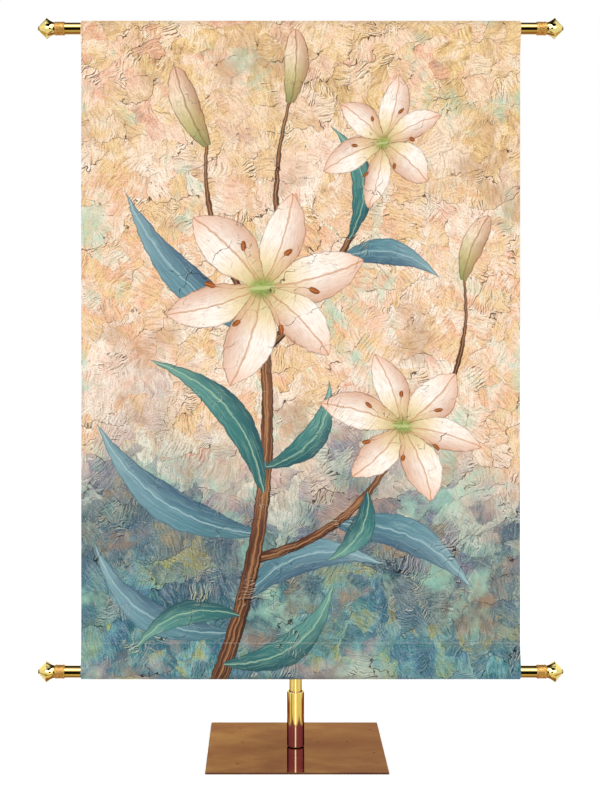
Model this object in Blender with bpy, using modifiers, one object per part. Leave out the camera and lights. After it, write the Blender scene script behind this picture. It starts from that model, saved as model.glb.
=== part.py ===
"""A printed cloth banner between two brass crossbars, on a brass post with a square foot plate.

Blender 4.5, metres, +Z up. The origin is on the floor, midway along the crossbars and between the
plate's front and back edges. The banner's printed face looks along -Y.
Run it with blender --background --python part.py, or from Blender's text editor.
"""

import math

import bmesh
import bpy

# Room that neighbouring pieces keep between them
GAP = 0.0003

# Cloth: crease to crease, with a sleeve for a crossbar folded to the back at each end
CLOTH_WIDTH = 0.914
CLOTH_HEIGHT = 1.372
CLOTH_THICK = 0.0012
CLOTH_BOTTOM_Z = 0.151
CREASE_REACH = 0.0165
SLEEVE_DEPTH = 0.070
SEAM_TAIL = 0.012

# Crossbars: tubes with a collar, a finial and a button at each end
ROD_RADIUS = 0.0125
ROD_WALL = 0.0012
ROD_SHOWS = 0.034
COLLAR_LENGTH = 0.0205
COLLAR_RADIUS = 0.0145
COLLAR_RING = 0.0034
COLLAR_BEAD = 0.0042
COLLAR_SUNK = 0.0004
COLLAR_CHAMFER = 0.0011
NECK_RADIUS = 0.0131
NECK_LENGTH = 0.0168
NECK_POWER = 1.7
RIDGE_RADIUS = 0.0223
CONE_LENGTH = 0.0142
CONE_END_RADIUS = 0.0078
CONE_END_CHAMFER = 0.0007
SPIGOT_LENGTH = 0.018
BUTTON_RADIUS = 0.0047
BUTTON_LENGTH = 0.0046
STUD_RADIUS = 0.0022
STUD_LENGTH = 0.006

# Stand: plate, socket, post and the saddle that carries the top crossbar
STAND_X = -0.010
PLATE_SIDE = 0.366
PLATE_THICK = 0.004
PLATE_BEVEL = 0.0006
SOCKET_RADIUS = 0.018
SOCKET_HEIGHT = 0.116
SOCKET_LIP = 0.0009
SOCKET_FOOT_CHAMFER = 0.0008
MOUTH_DEPTH = 0.006
MOUTH_WIDTH = 0.0012
POST_RADIUS = 0.013
POST_WALL = 0.0015
BANNER_OFFSET = 0.029
SADDLE_WIDTH = 0.030
SADDLE_THICK = 0.003
SADDLE_PAST_BOTTOM_DEG = 28.0
SADDLE_BACK_RISE_DEG = 12.0
ARM_THICK = 0.004
ARM_DROP = 0.0005
PLUG_LENGTH = 0.030
NOTCH_WIDTH = 0.040
NOTCH_RISE = 0.0065
NOTCH_SKIN = 0.0001

# How finely round shapes are stepped
ROUND_STEPS = 28
SMALL_STEPS = 16
SLEEVE_STEPS = 9
SADDLE_STEPS = 14
NECK_STEPS = 6
DOME_STEPS = 3

TOP_ROD_Z = CLOTH_BOTTOM_Z + CLOTH_HEIGHT - CREASE_REACH
BOTTOM_ROD_Z = CLOTH_BOTTOM_Z + CREASE_REACH
COLLAR_START = CLOTH_WIDTH / 2 + ROD_SHOWS
ROD_END = COLLAR_START + COLLAR_LENGTH
FINIAL_START = ROD_END + GAP
FINIAL_LENGTH = NECK_LENGTH + CONE_LENGTH
BUTTON_START = FINIAL_START + FINIAL_LENGTH
POST_FOOT_Z = PLATE_THICK + GAP
POST_TOP_Z = TOP_ROD_Z - ARM_DROP - ARM_THICK - GAP


def clear_scene():
    for obj in list(bpy.data.objects):
        bpy.data.objects.remove(obj, do_unlink=True)


def new_collection(name):
    collection = bpy.data.collections.new(name)
    bpy.context.scene.collection.children.link(collection)
    return collection


def make_material(name, colour, roughness, metallic):
    material = bpy.data.materials.new(name)
    material.use_nodes = True
    shader = material.node_tree.nodes["Principled BSDF"]
    shader.inputs["Base Color"].default_value = (*colour, 1.0)
    shader.inputs["Roughness"].default_value = roughness
    shader.inputs["Metallic"].default_value = metallic
    return material


def add_object(name, mesh, collection, material=None, parent=None):
    obj = bpy.data.objects.new(name, mesh)
    if material is not None and not mesh.materials:
        mesh.materials.append(material)
    obj.parent = parent
    collection.objects.link(obj)
    return obj


def add_empty(name, location, collection):
    empty = bpy.data.objects.new(name, None)
    empty.location = location
    collection.objects.link(empty)
    return empty


def add_boolean(obj, other, operation):
    """Cuts obj with other, or joins other to it, and hides other as a guide."""
    boolean = obj.modifiers.new(operation.title(), "BOOLEAN")
    boolean.operation = operation
    boolean.object = other
    boolean.solver = "EXACT"
    other.hide_render = True
    other.display_type = "WIRE"


def arc_points(radius, start, end, steps):
    """Points of an arc about the origin, between two angles in radians from the first axis."""
    angles = [start + (end - start) * step / steps for step in range(steps + 1)]
    return [(radius * math.cos(angle), radius * math.sin(angle)) for angle in angles]


# Turned pieces


def profile_mesh(name, profile, ring=False):
    """Edges through (radius, height) points that run down the outer side; a ring is closed."""
    mesh = bpy.data.meshes.new(name)
    last = len(profile) - 1
    edges = [(i, i + 1) for i in range(last)]
    if ring:
        edges.append((last, 0))
    mesh.from_pydata([(radius, 0.0, height) for radius, height in profile], edges, [])
    return mesh


def turn(obj, steps=ROUND_STEPS):
    """Turns the object's profile about its own Z axis."""
    screw = obj.modifiers.new("Turn", "SCREW")
    screw.angle = math.tau
    screw.steps = steps
    screw.render_steps = steps
    screw.use_merge_vertices = True
    screw.merge_threshold = 0.00002
    screw.use_smooth_shade = True


def tube_profile(outer, inner, low, high):
    return [(outer, high), (outer, low), (inner, low), (inner, high)]


def collar_profile():
    """A chamfered ring, a slightly sunk band and a bead, bored for the crossbar."""
    bore = ROD_RADIUS + GAP
    sunk = COLLAR_RADIUS - COLLAR_SUNK
    bead_start = COLLAR_LENGTH - COLLAR_BEAD
    return [
        (bore, COLLAR_LENGTH),
        (COLLAR_RADIUS - COLLAR_CHAMFER, COLLAR_LENGTH),
        (COLLAR_RADIUS, COLLAR_LENGTH - COLLAR_CHAMFER),
        (COLLAR_RADIUS, bead_start + COLLAR_CHAMFER),
        (sunk, bead_start),
        (sunk, COLLAR_RING + COLLAR_SUNK),
        (COLLAR_RADIUS, COLLAR_RING),
        (COLLAR_RADIUS, COLLAR_CHAMFER),
        (COLLAR_RADIUS - COLLAR_CHAMFER, 0.0),
        (bore, 0.0),
    ]


def finial_profile():
    """Cone, ridge, flared neck and spigot, with a blind hole for the button's stud."""
    hole = STUD_RADIUS + GAP
    hole_floor = FINIAL_LENGTH - STUD_LENGTH - GAP
    spigot = ROD_RADIUS - ROD_WALL - GAP
    cone = [
        (0.0, hole_floor),
        (hole, hole_floor),
        (hole, FINIAL_LENGTH),
        (CONE_END_RADIUS - CONE_END_CHAMFER, FINIAL_LENGTH),
        (CONE_END_RADIUS, FINIAL_LENGTH - CONE_END_CHAMFER),
    ]
    neck = []
    for step in range(NECK_STEPS, -1, -1):
        share = step / NECK_STEPS
        flare = (RIDGE_RADIUS - NECK_RADIUS) * share**NECK_POWER
        neck.append((NECK_RADIUS + flare, NECK_LENGTH * share))
    return cone + neck + [(spigot, 0.0), (spigot, -SPIGOT_LENGTH), (0.0, -SPIGOT_LENGTH)]


def button_profile():
    """A domed head over its seat, on a thin stud."""
    side = BUTTON_LENGTH / 2
    dome = arc_points(1.0, math.pi / 2, 0.0, DOME_STEPS)
    head = [(BUTTON_RADIUS * r, side + side * z) for r, z in dome]
    head[0] = (0.0, BUTTON_LENGTH)
    stud_end = GAP - STUD_LENGTH
    return head + [
        (BUTTON_RADIUS, GAP),
        (STUD_RADIUS, GAP),
        (STUD_RADIUS, stud_end),
        (0.0, stud_end),
    ]


def socket_profile():
    """A thick tube with a rounded lip, whose mouth stands a little wide of the post."""
    bore = POST_RADIUS + GAP
    mouth = bore + MOUTH_WIDTH
    top = SOCKET_HEIGHT
    return [
        (mouth, top - SOCKET_LIP),
        (mouth + SOCKET_LIP, top),
        (SOCKET_RADIUS - SOCKET_LIP, top),
        (SOCKET_RADIUS, top - SOCKET_LIP),
        (SOCKET_RADIUS, SOCKET_FOOT_CHAMFER),
        (SOCKET_RADIUS - SOCKET_FOOT_CHAMFER, 0.0),
        (bore, 0.0),
        (bore, top - MOUTH_DEPTH),
        (mouth, top - MOUTH_DEPTH),
    ]


def add_crossbar(label, height, meshes, materials, collection):
    """A tube along X with a collar, a finial and a button at each end."""
    centre = add_empty(label + "_crossbar", (0.0, -BANNER_OFFSET, height), collection)
    rod = add_object(label + "_rod", meshes["rod"], collection, materials["brass"], centre)
    rod.rotation_euler.y = math.pi / 2
    turn(rod)
    fittings = (
        ("collar", COLLAR_START, "satin_gold", ROUND_STEPS),
        ("finial", FINIAL_START, "brass", ROUND_STEPS),
        ("button", BUTTON_START, "satin_gold", SMALL_STEPS),
    )
    for side, sign in (("left", -1.0), ("right", 1.0)):
        for piece, start, finish, steps in fittings:
            name = f"{label}_{side}_{piece}"
            obj = add_object(name, meshes[piece], collection, materials[finish], centre)
            obj.location.x = sign * start
            obj.rotation_euler.y = sign * math.pi / 2
            turn(obj, steps)


# Flat outlines


def extrude_outlines(name, outlines, thickness, collection):
    """Closed outlines filled, holes left open, and given a thickness, as one welded mesh."""
    curve = bpy.data.curves.new(name, "CURVE")
    curve.dimensions = "2D"
    curve.fill_mode = "BOTH"
    curve.extrude = thickness / 2
    for points in outlines:
        spline = curve.splines.new("POLY")
        spline.points.add(len(points) - 1)
        for point, (x, y) in zip(spline.points, points):
            point.co = (x, y, 0.0, 1.0)
        spline.use_cyclic_u = True
    drawn = bpy.data.objects.new(name, curve)
    collection.objects.link(drawn)
    graph = bpy.context.evaluated_depsgraph_get()
    mesh = bpy.data.meshes.new_from_object(drawn.evaluated_get(graph))
    bpy.data.objects.remove(drawn)
    welded = bmesh.new()
    welded.from_mesh(mesh)
    bmesh.ops.remove_doubles(welded, verts=welded.verts, dist=0.00001)
    welded.to_mesh(mesh)
    welded.free()
    mesh.materials.clear()
    mesh.name = name
    return add_object(name, mesh, collection)


def stand_on_edge(obj):
    """Turns an outline drawn in (x, y) so that x runs to the back and y up."""
    obj.rotation_euler = (math.pi / 2, 0.0, math.pi / 2)


def add_box(name, width, y_range, z_range, collection):
    """A box centred on x = 0, between two y and two z values."""
    mesh = bpy.data.meshes.new(name)
    box = bmesh.new()
    bmesh.ops.create_cube(box, size=1.0)
    for vert in box.verts:
        vert.co.x *= width
        vert.co.y = y_range[0] if vert.co.y < 0 else y_range[1]
        vert.co.z = z_range[0] if vert.co.z < 0 else z_range[1]
    box.to_mesh(mesh)
    box.free()
    return add_object(name, mesh, collection)


# Cloth


def sleeve_loop(radius, crease, front_foot, back_foot):
    """One surface of a sleeve, as (back, up) points about its crossbar.

    It leaves the seam at front_foot, touches the circle of this radius, peaks in the pressed
    crease, comes down behind and ends at back_foot.
    """

    def touch(foot, side):
        away = math.acos(radius / math.hypot(*foot))
        return math.atan2(foot[1], foot[0]) + side * away

    half = math.acos(radius / crease)
    front_start = touch(front_foot, -1.0) + math.tau
    front = arc_points(radius, front_start, math.pi / 2 + half, SLEEVE_STEPS)
    back = arc_points(radius, math.pi / 2 - half, touch(back_foot, 1.0), SLEEVE_STEPS)
    return [front_foot, *front, (0.0, crease), *back, back_foot]


def sleeve_surfaces():
    """The outer surface of a sleeve down to the end of its seam, and the outline of its inside.

    The inside closes one thickness above the seam, where its two layers meet.
    """
    inner = ROD_RADIUS + GAP
    outer = inner + CLOTH_THICK
    seam_z = CREASE_REACH - SLEEVE_DEPTH
    face = CLOTH_THICK / 2
    back = face + CLOTH_THICK
    outside = sleeve_loop(outer, CREASE_REACH, (-face, seam_z), (back, seam_z))
    outside += [(back, seam_z - SEAM_TAIL), (face, seam_z - SEAM_TAIL)]
    inner_crease = CREASE_REACH * inner / outer
    meeting = (face, seam_z + CLOTH_THICK)
    inside = sleeve_loop(inner, inner_crease, meeting, meeting)[:-1]
    return outside, inside


def add_cloth(material, collection, helpers):
    """One strip of cloth with a stitched sleeve at each end, the top one open behind the saddle."""
    outside, inside = sleeve_surfaces()
    reach = CLOTH_HEIGHT / 2 - CREASE_REACH

    def at_top(points):
        return [(y, reach + z) for y, z in points]

    def at_bottom(points):
        return [(y, -reach - z) for y, z in reversed(points)]

    outlines = [at_top(outside) + at_bottom(outside), at_top(inside), at_bottom(inside)]
    cloth = extrude_outlines("banner_cloth", outlines, CLOTH_WIDTH, collection)
    cloth.data.materials.append(material)
    stand_on_edge(cloth)
    cloth.location = (0.0, -BANNER_OFFSET, CLOTH_BOTTOM_Z + CLOTH_HEIGHT / 2)

    front = -BANNER_OFFSET + CLOTH_THICK / 2 + NOTCH_SKIN
    low = TOP_ROD_Z + CREASE_REACH - SLEEVE_DEPTH - 2 * SEAM_TAIL
    high = TOP_ROD_Z + NOTCH_RISE
    notch = add_box("notch", NOTCH_WIDTH, (front, 0.0), (low, high), helpers)
    notch.location.x = STAND_X
    add_boolean(cloth, notch, "DIFFERENCE")


# Stand


def add_plate(material, collection):
    half = PLATE_SIDE / 2
    plate = add_box("base_plate", PLATE_SIDE, (-half, half), (0.0, PLATE_THICK), collection)
    plate.data.materials.append(material)
    plate.location.x = STAND_X
    bevel = plate.modifiers.new("Edge", "BEVEL")
    bevel.width = PLATE_BEVEL
    bevel.segments = 1


def add_upright(name, profile, foot_z, material, collection):
    mesh = profile_mesh(name, profile, ring=True)
    obj = add_object(name, mesh, collection, material)
    obj.location = (STAND_X, 0.0, foot_z)
    turn(obj)


def add_saddle(material, collection, helpers):
    """A cradle under the top crossbar, an arm back over the post and a plug down into it."""
    inner = ROD_RADIUS + GAP
    outer = inner + SADDLE_THICK
    back = math.radians(SADDLE_BACK_RISE_DEG)
    front = -math.pi / 2 - math.radians(SADDLE_PAST_BOTTOM_DEG)
    section = arc_points(outer, back, front, SADDLE_STEPS)
    section += arc_points(inner, front, back, SADDLE_STEPS)
    saddle = extrude_outlines("post_saddle", [section], SADDLE_WIDTH, collection)
    saddle.data.materials.append(material)
    stand_on_edge(saddle)
    saddle.location = (STAND_X, -BANNER_OFFSET, TOP_ROD_Z)

    arm_reach = BANNER_OFFSET - inner - SADDLE_THICK / 2
    plan = arc_points(POST_RADIUS, 0.0, math.pi, SADDLE_STEPS)
    plan += [(-POST_RADIUS, -arm_reach), (POST_RADIUS, -arm_reach)]
    arm = extrude_outlines("saddle_arm", [plan], ARM_THICK, helpers)
    arm.location = (STAND_X, 0.0, TOP_ROD_Z - ARM_DROP - ARM_THICK / 2)
    add_boolean(saddle, arm, "UNION")

    plug_radius = POST_RADIUS - POST_WALL - GAP
    profile = [
        (0.0, arm.location.z),
        (plug_radius, arm.location.z),
        (plug_radius, POST_TOP_Z - PLUG_LENGTH),
        (0.0, POST_TOP_Z - PLUG_LENGTH),
    ]
    plug = add_object("saddle_plug", profile_mesh("saddle_plug", profile), helpers)
    plug.location.x = STAND_X
    turn(plug)
    add_boolean(saddle, plug, "UNION")


def add_stand(materials, collection, helpers):
    add_plate(materials["bronzed_brass"], collection)
    add_upright("post_socket", socket_profile(), POST_FOOT_Z, materials["brass"], collection)
    post = tube_profile(POST_RADIUS, POST_RADIUS - POST_WALL, 0.0, POST_TOP_Z - POST_FOOT_Z)
    add_upright("post", post, POST_FOOT_Z, materials["brass"], collection)
    add_saddle(materials["brass"], collection, helpers)


def main():
    clear_scene()
    pieces = new_collection("easter_banner")
    helpers = new_collection("helpers")
    materials = {
        "brass": make_material("polished_brass", (0.70, 0.45, 0.12), 0.18, 1.0),
        "satin_gold": make_material("satin_gold", (0.62, 0.34, 0.07), 0.38, 1.0),
        "bronzed_brass": make_material("bronzed_brass", (0.36, 0.19, 0.08), 0.30, 1.0),
    }
    rod = tube_profile(ROD_RADIUS, ROD_RADIUS - ROD_WALL, -ROD_END, ROD_END)
    meshes = {
        "rod": profile_mesh("rod", rod, ring=True),
        "collar": profile_mesh("collar", collar_profile(), ring=True),
        "finial": profile_mesh("finial", finial_profile()),
        "button": profile_mesh("button", button_profile()),
    }
    add_stand(materials, pieces, helpers)
    add_crossbar("top", TOP_ROD_Z, meshes, materials, pieces)
    add_crossbar("bottom", BOTTOM_ROD_Z, meshes, materials, pieces)
    add_cloth(make_material("printed_cloth", (0.78, 0.60, 0.46), 0.85, 0.0), pieces, helpers)


main()
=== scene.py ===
"""The finish of a printed cloth banner on a brass stand: turned brass, a bronzed plate and the print."""

import math
from collections import namedtuple

import bmesh
import bpy
import numpy as np
from mathutils import Matrix, Vector


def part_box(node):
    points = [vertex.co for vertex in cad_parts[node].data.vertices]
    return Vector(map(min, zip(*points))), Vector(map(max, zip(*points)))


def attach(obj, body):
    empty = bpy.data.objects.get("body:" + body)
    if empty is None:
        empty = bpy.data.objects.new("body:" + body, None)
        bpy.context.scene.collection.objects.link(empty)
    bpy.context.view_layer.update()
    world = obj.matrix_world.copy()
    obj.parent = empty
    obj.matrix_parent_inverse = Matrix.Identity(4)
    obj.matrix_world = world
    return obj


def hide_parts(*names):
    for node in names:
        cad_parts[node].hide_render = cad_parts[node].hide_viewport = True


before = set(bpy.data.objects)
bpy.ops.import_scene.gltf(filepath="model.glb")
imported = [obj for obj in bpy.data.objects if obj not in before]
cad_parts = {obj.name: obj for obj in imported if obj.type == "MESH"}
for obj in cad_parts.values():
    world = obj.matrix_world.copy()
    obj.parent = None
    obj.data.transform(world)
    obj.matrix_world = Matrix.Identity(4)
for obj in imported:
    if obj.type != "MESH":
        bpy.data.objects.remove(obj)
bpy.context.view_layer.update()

MM = 0.001

# Driving sizes, read from the frame where the frame has them
CLOTH_LOW, CLOTH_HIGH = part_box("banner_cloth")
ROD_LOW, ROD_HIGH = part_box("top_rod")
POST_LOW, POST_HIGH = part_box("post")
SOCKET_LOW, SOCKET_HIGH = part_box("post_socket")
COLLAR_LOW, COLLAR_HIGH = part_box("top_right_collar")
FINIAL_LOW, FINIAL_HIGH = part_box("top_right_finial")
BUTTON_LOW, BUTTON_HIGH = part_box("top_right_button")
SADDLE_LOW, SADDLE_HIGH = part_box("post_saddle")

GAP = 0.3 * MM
CLOTH_WIDTH = CLOTH_HIGH.x - CLOTH_LOW.x
CLOTH_THICK = 1.2 * MM
CLOTH_MIDDLE_Z = (CLOTH_HIGH.z + CLOTH_LOW.z) / 2
CREASE_REACH = 16.5 * MM
SLEEVE_DEPTH = 70.0 * MM
SEAM_TAIL = 12.0 * MM
LAYERS_APART = 0.1 * MM

ROD_RADIUS = (ROD_HIGH.z - ROD_LOW.z) / 2
ROD_WALL = 1.2 * MM
TOP_ROD_Z = (ROD_HIGH.z + ROD_LOW.z) / 2
BOTTOM_ROD_Z = CLOTH_LOW.z + CREASE_REACH
BANNER_Y = (ROD_HIGH.y + ROD_LOW.y) / 2
ROD_END = ROD_HIGH.x

COLLAR_START = COLLAR_LOW.x
COLLAR_LENGTH = COLLAR_HIGH.x - COLLAR_LOW.x
COLLAR_RADIUS = (COLLAR_HIGH.z - COLLAR_LOW.z) / 2
COLLAR_RING = 3.4 * MM
COLLAR_BEAD = 4.2 * MM
COLLAR_SUNK = 0.4 * MM
COLLAR_CHAMFER = 1.1 * MM
FINIAL_START = ROD_END + GAP
FINIAL_LENGTH = FINIAL_HIGH.x - FINIAL_START
SPIGOT_LENGTH = FINIAL_START - FINIAL_LOW.x
NECK_RADIUS = 13.1 * MM
NECK_LENGTH = 16.8 * MM
NECK_POWER = 1.7
RIDGE_RADIUS = (FINIAL_HIGH.z - FINIAL_LOW.z) / 2
CONE_END_RADIUS = 7.8 * MM
BUTTON_START = FINIAL_START + FINIAL_LENGTH
BUTTON_LENGTH = BUTTON_HIGH.x - BUTTON_START
BUTTON_RADIUS = (BUTTON_HIGH.z - BUTTON_LOW.z) / 2
STUD_RADIUS = 2.2 * MM
STUD_LENGTH = 6.0 * MM

STAND_X = (POST_HIGH.x + POST_LOW.x) / 2
POST_RADIUS = (POST_HIGH.x - POST_LOW.x) / 2
POST_WALL = 1.5 * MM
SOCKET_RADIUS = (SOCKET_HIGH.x - SOCKET_LOW.x) / 2
MOUTH_DEPTH = 6.0 * MM
MOUTH_WIDTH = 1.2 * MM
FOOT_GROOVE_HEIGHT = 1.8 * MM
FOOT_GROOVE_DEPTH = 2.0 * MM
SADDLE_WIDTH = SADDLE_HIGH.x - SADDLE_LOW.x
SADDLE_THICK = 3.0 * MM
SADDLE_PAST_BOTTOM_DEG = 28.0
SADDLE_BACK_RISE_DEG = 12.0
ARM_THICK = 4.0 * MM
ARM_DROP = 0.5 * MM
PLUG_LENGTH = 30.0 * MM
SADDLE_SOFTENED = 0.5 * MM
SOFTENED_FROM_DEG = 40
SADDLE_SHARP_DEG = 35
CLOTH_SHARP_DEG = 40
NOTCH_WIDTH = 40.0 * MM
NOTCH_RISE = 6.5 * MM

# How finely curved shapes are stepped
TURN_STEPS = 128
SMALL_TURN_STEPS = 64
FILLET_STEPS = 4
# A fillet may take this share of a side
FILLET_ROOM = 0.4
# A hold line lies this many times the fillet's reach out, and at most this share of the side
HOLD_REACH = 1.4
HOLD_ROOM = 0.47
NECK_STEPS = 28
DOME_STEPS = 12
SADDLE_ARC_STEPS = 40
PLUG_STEPS = 64
SLEEVE_ARC_STEPS = 24
WELD_DISTANCE = 0.002 * MM

# Spacing of the cloth's mesh round the sleeves, up the front and across
SLEEVE_MESH_STEP = 3.2 * MM
FRONT_MESH_STEP = 6.3 * MM
ACROSS_MESH_STEP = 5.9 * MM

STITCH_PITCH = 3.4 * MM
STITCH_LENGTH = 2.9 * MM
THREAD_RADIUS = 0.26 * MM
STITCH_MARGIN = 3.0 * MM

# The floor card is dull this far from the post each way, which is past the plate's edges
DULL_REACH = 0.21

# The photograph's camera, which looks level, as a place and a lens
CAMERA_PLACE = (-0.0680, -3.4045, 0.9829)
CAMERA_LENS = 72.94
CAMERA_SHIFT = (0.0400, -0.15)


# Nodes and colours


def linear(hex_colour):
    """An sRGB hex colour as linear red, green, blue and full cover."""
    parts = [int(hex_colour[i : i + 2], 16) / 255 for i in (1, 3, 5)]
    light = [p / 12.92 if p <= 0.04045 else ((p + 0.055) / 1.055) ** 2.4 for p in parts]
    return (*light, 1.0)


def add_node(tree, kind, inputs=(), **settings):
    """Adds a node, sets its properties, and gives its inputs a value or a link, by name or place.

    A link comes from a socket, or from a node, which stands for its first output.
    """
    made = tree.nodes.new(kind)
    for key, value in settings.items():
        setattr(made, key, value)
    for key, value in dict(inputs).items():
        if isinstance(value, bpy.types.Node):
            value = value.outputs[0]
        if isinstance(value, bpy.types.NodeSocket):
            tree.links.new(value, made.inputs[key])
        else:
            made.inputs[key].default_value = value
    return made


def placed(name, data):
    """An object for this data, in the scene."""
    obj = bpy.data.objects.new(name, data)
    bpy.context.scene.collection.objects.link(obj)
    return obj


def blank_material(name):
    material = bpy.data.materials.new(name)
    material.use_nodes = True
    material.node_tree.nodes.clear()
    return material, material.node_tree


def close_material(material, shader):
    """Gives a material its shader, and hands the material back."""
    add_node(material.node_tree, "ShaderNodeOutputMaterial", {"Surface": shader})
    return material


def fill_ramp(ramp_node, colours):
    """Spreads hex colours evenly over a ramp, or places them where (place, colour) pairs say."""
    ramp = ramp_node.color_ramp
    if isinstance(colours[0], str):
        last = len(colours) - 1
        colours = [(i / last, colour) for i, colour in enumerate(colours)]
    while len(ramp.elements) < len(colours):
        ramp.elements.new(0.5)
    for element, (place, colour) in zip(ramp.elements, colours):
        element.position = place
    for element, (place, colour) in zip(ramp.elements, colours):
        element.color = linear(colour)
    return ramp_node.outputs["Color"]


def window(tree, value, low, high, feather):
    """1 where the value lies between low and high, with soft sides this wide."""
    both = {}
    for edge, half in ((low, feather / 2), (high, -feather / 2)):
        side = {"Value": value, "From Min": edge - half, "From Max": edge + half}
        side = add_node(tree, "ShaderNodeMapRange", side, interpolation_type="SMOOTHSTEP")
        both[len(both)] = side
    return add_node(tree, "ShaderNodeMath", both, operation="MULTIPLY")


def laid_over(tree, below, colour, value, low=0.0, high=1.0, most=1.0, blend="MIX"):
    """Lays a colour over another as a value runs from low to high, at most this thickly."""
    amount = add_node(
        tree, "ShaderNodeMapRange", {"Value": value, "From Min": low, "From Max": high, "To Max": most}
    )
    parts = {"Factor": amount, "A": below, "B": colour}
    mixed = add_node(tree, "ShaderNodeMix", parts, data_type="RGBA", blend_type=blend)
    return mixed.outputs["Result"]


# Brass finishes


def polished_brass():
    """Polished, lacquered brass: pale yellow and mirror-bright, with hairlines from the buffing wheel."""
    material, tree = blank_material("polished_lacquered_brass")
    place = add_node(tree, "ShaderNodeTexCoord").outputs["Object"]
    haze = add_node(tree, "ShaderNodeTexNoise", {"Vector": place, "Scale": 60.0, "Detail": 3.0})
    rough = add_node(
        tree,
        "ShaderNodeMapRange",
        {"Value": haze, "From Min": 0.3, "From Max": 0.7, "To Min": 0.05, "To Max": 0.10},
    )
    tint = add_node(tree, "ShaderNodeValToRGB", {"Fac": haze})
    colour = fill_ramp(tint, [(0.3, "#E8CB7E"), (0.7, "#EFD68E")])
    fine = add_node(tree, "ShaderNodeTexNoise", {"Vector": place, "Scale": 900.0, "Detail": 2.0})
    bump = add_node(tree, "ShaderNodeBump", {"Height": fine, "Strength": 0.03, "Distance": 0.1 * MM})
    shader = add_node(
        tree,
        "ShaderNodeBsdfPrincipled",
        {"Base Color": colour, "Metallic": 1.0, "Roughness": rough, "Normal": bump},
    )
    return close_material(material, shader)


def painted_shade_brass():
    """Painted shade for the socket's bore, mouth and foot groove: dull brown-black brass, with rings from
    the tool.
    """
    material, tree = blank_material("bore_painted_shade_brass")
    place = add_node(tree, "ShaderNodeTexCoord").outputs["Object"]
    # Tool rings 0.8 mm apart, coarser than the real ones
    rings = add_node(
        tree,
        "ShaderNodeTexWave",
        {"Vector": place, "Scale": 0.31 / (0.8 * MM), "Distortion": 0.6},
        bands_direction="Z",
    )
    tint = add_node(tree, "ShaderNodeValToRGB", {"Fac": rings.outputs["Fac"]})
    colour = fill_ramp(tint, ["#1C120B", "#35241A"])
    shader = add_node(
        tree, "ShaderNodeBsdfPrincipled", {"Base Color": colour, "Metallic": 0.4, "Roughness": 0.6}
    )
    return close_material(material, shader)


def satin_brass(name, dark, light, roughness, dimple_depth):
    """Cast brass under satin gold lacquer: a deep, grainy orange-gold with a soft shine."""
    material, tree = blank_material(name)
    place = add_node(tree, "ShaderNodeTexCoord").outputs["Object"]
    # Casting dimples about 2.6 mm across, coarser than the real ones so that they show
    grain = add_node(
        tree, "ShaderNodeTexVoronoi", {"Vector": place, "Scale": 1.0 / (2.6 * MM)}
    ).outputs["Distance"]
    cloud = add_node(tree, "ShaderNodeTexNoise", {"Vector": place, "Scale": 240.0, "Detail": 3.0})
    mixed = add_node(tree, "ShaderNodeMath", {0: grain, 1: cloud}, operation="MULTIPLY")
    tint = add_node(tree, "ShaderNodeValToRGB", {"Fac": mixed})
    colour = fill_ramp(tint, [(0.02, light), (0.34, dark)])
    bump = add_node(tree, "ShaderNodeBump", {"Height": grain, "Strength": 0.5, "Distance": dimple_depth})
    shader = add_node(
        tree,
        "ShaderNodeBsdfPrincipled",
        {"Base Color": colour, "Metallic": 0.7, "Roughness": roughness, "Normal": bump},
    )
    return close_material(material, shader)


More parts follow.
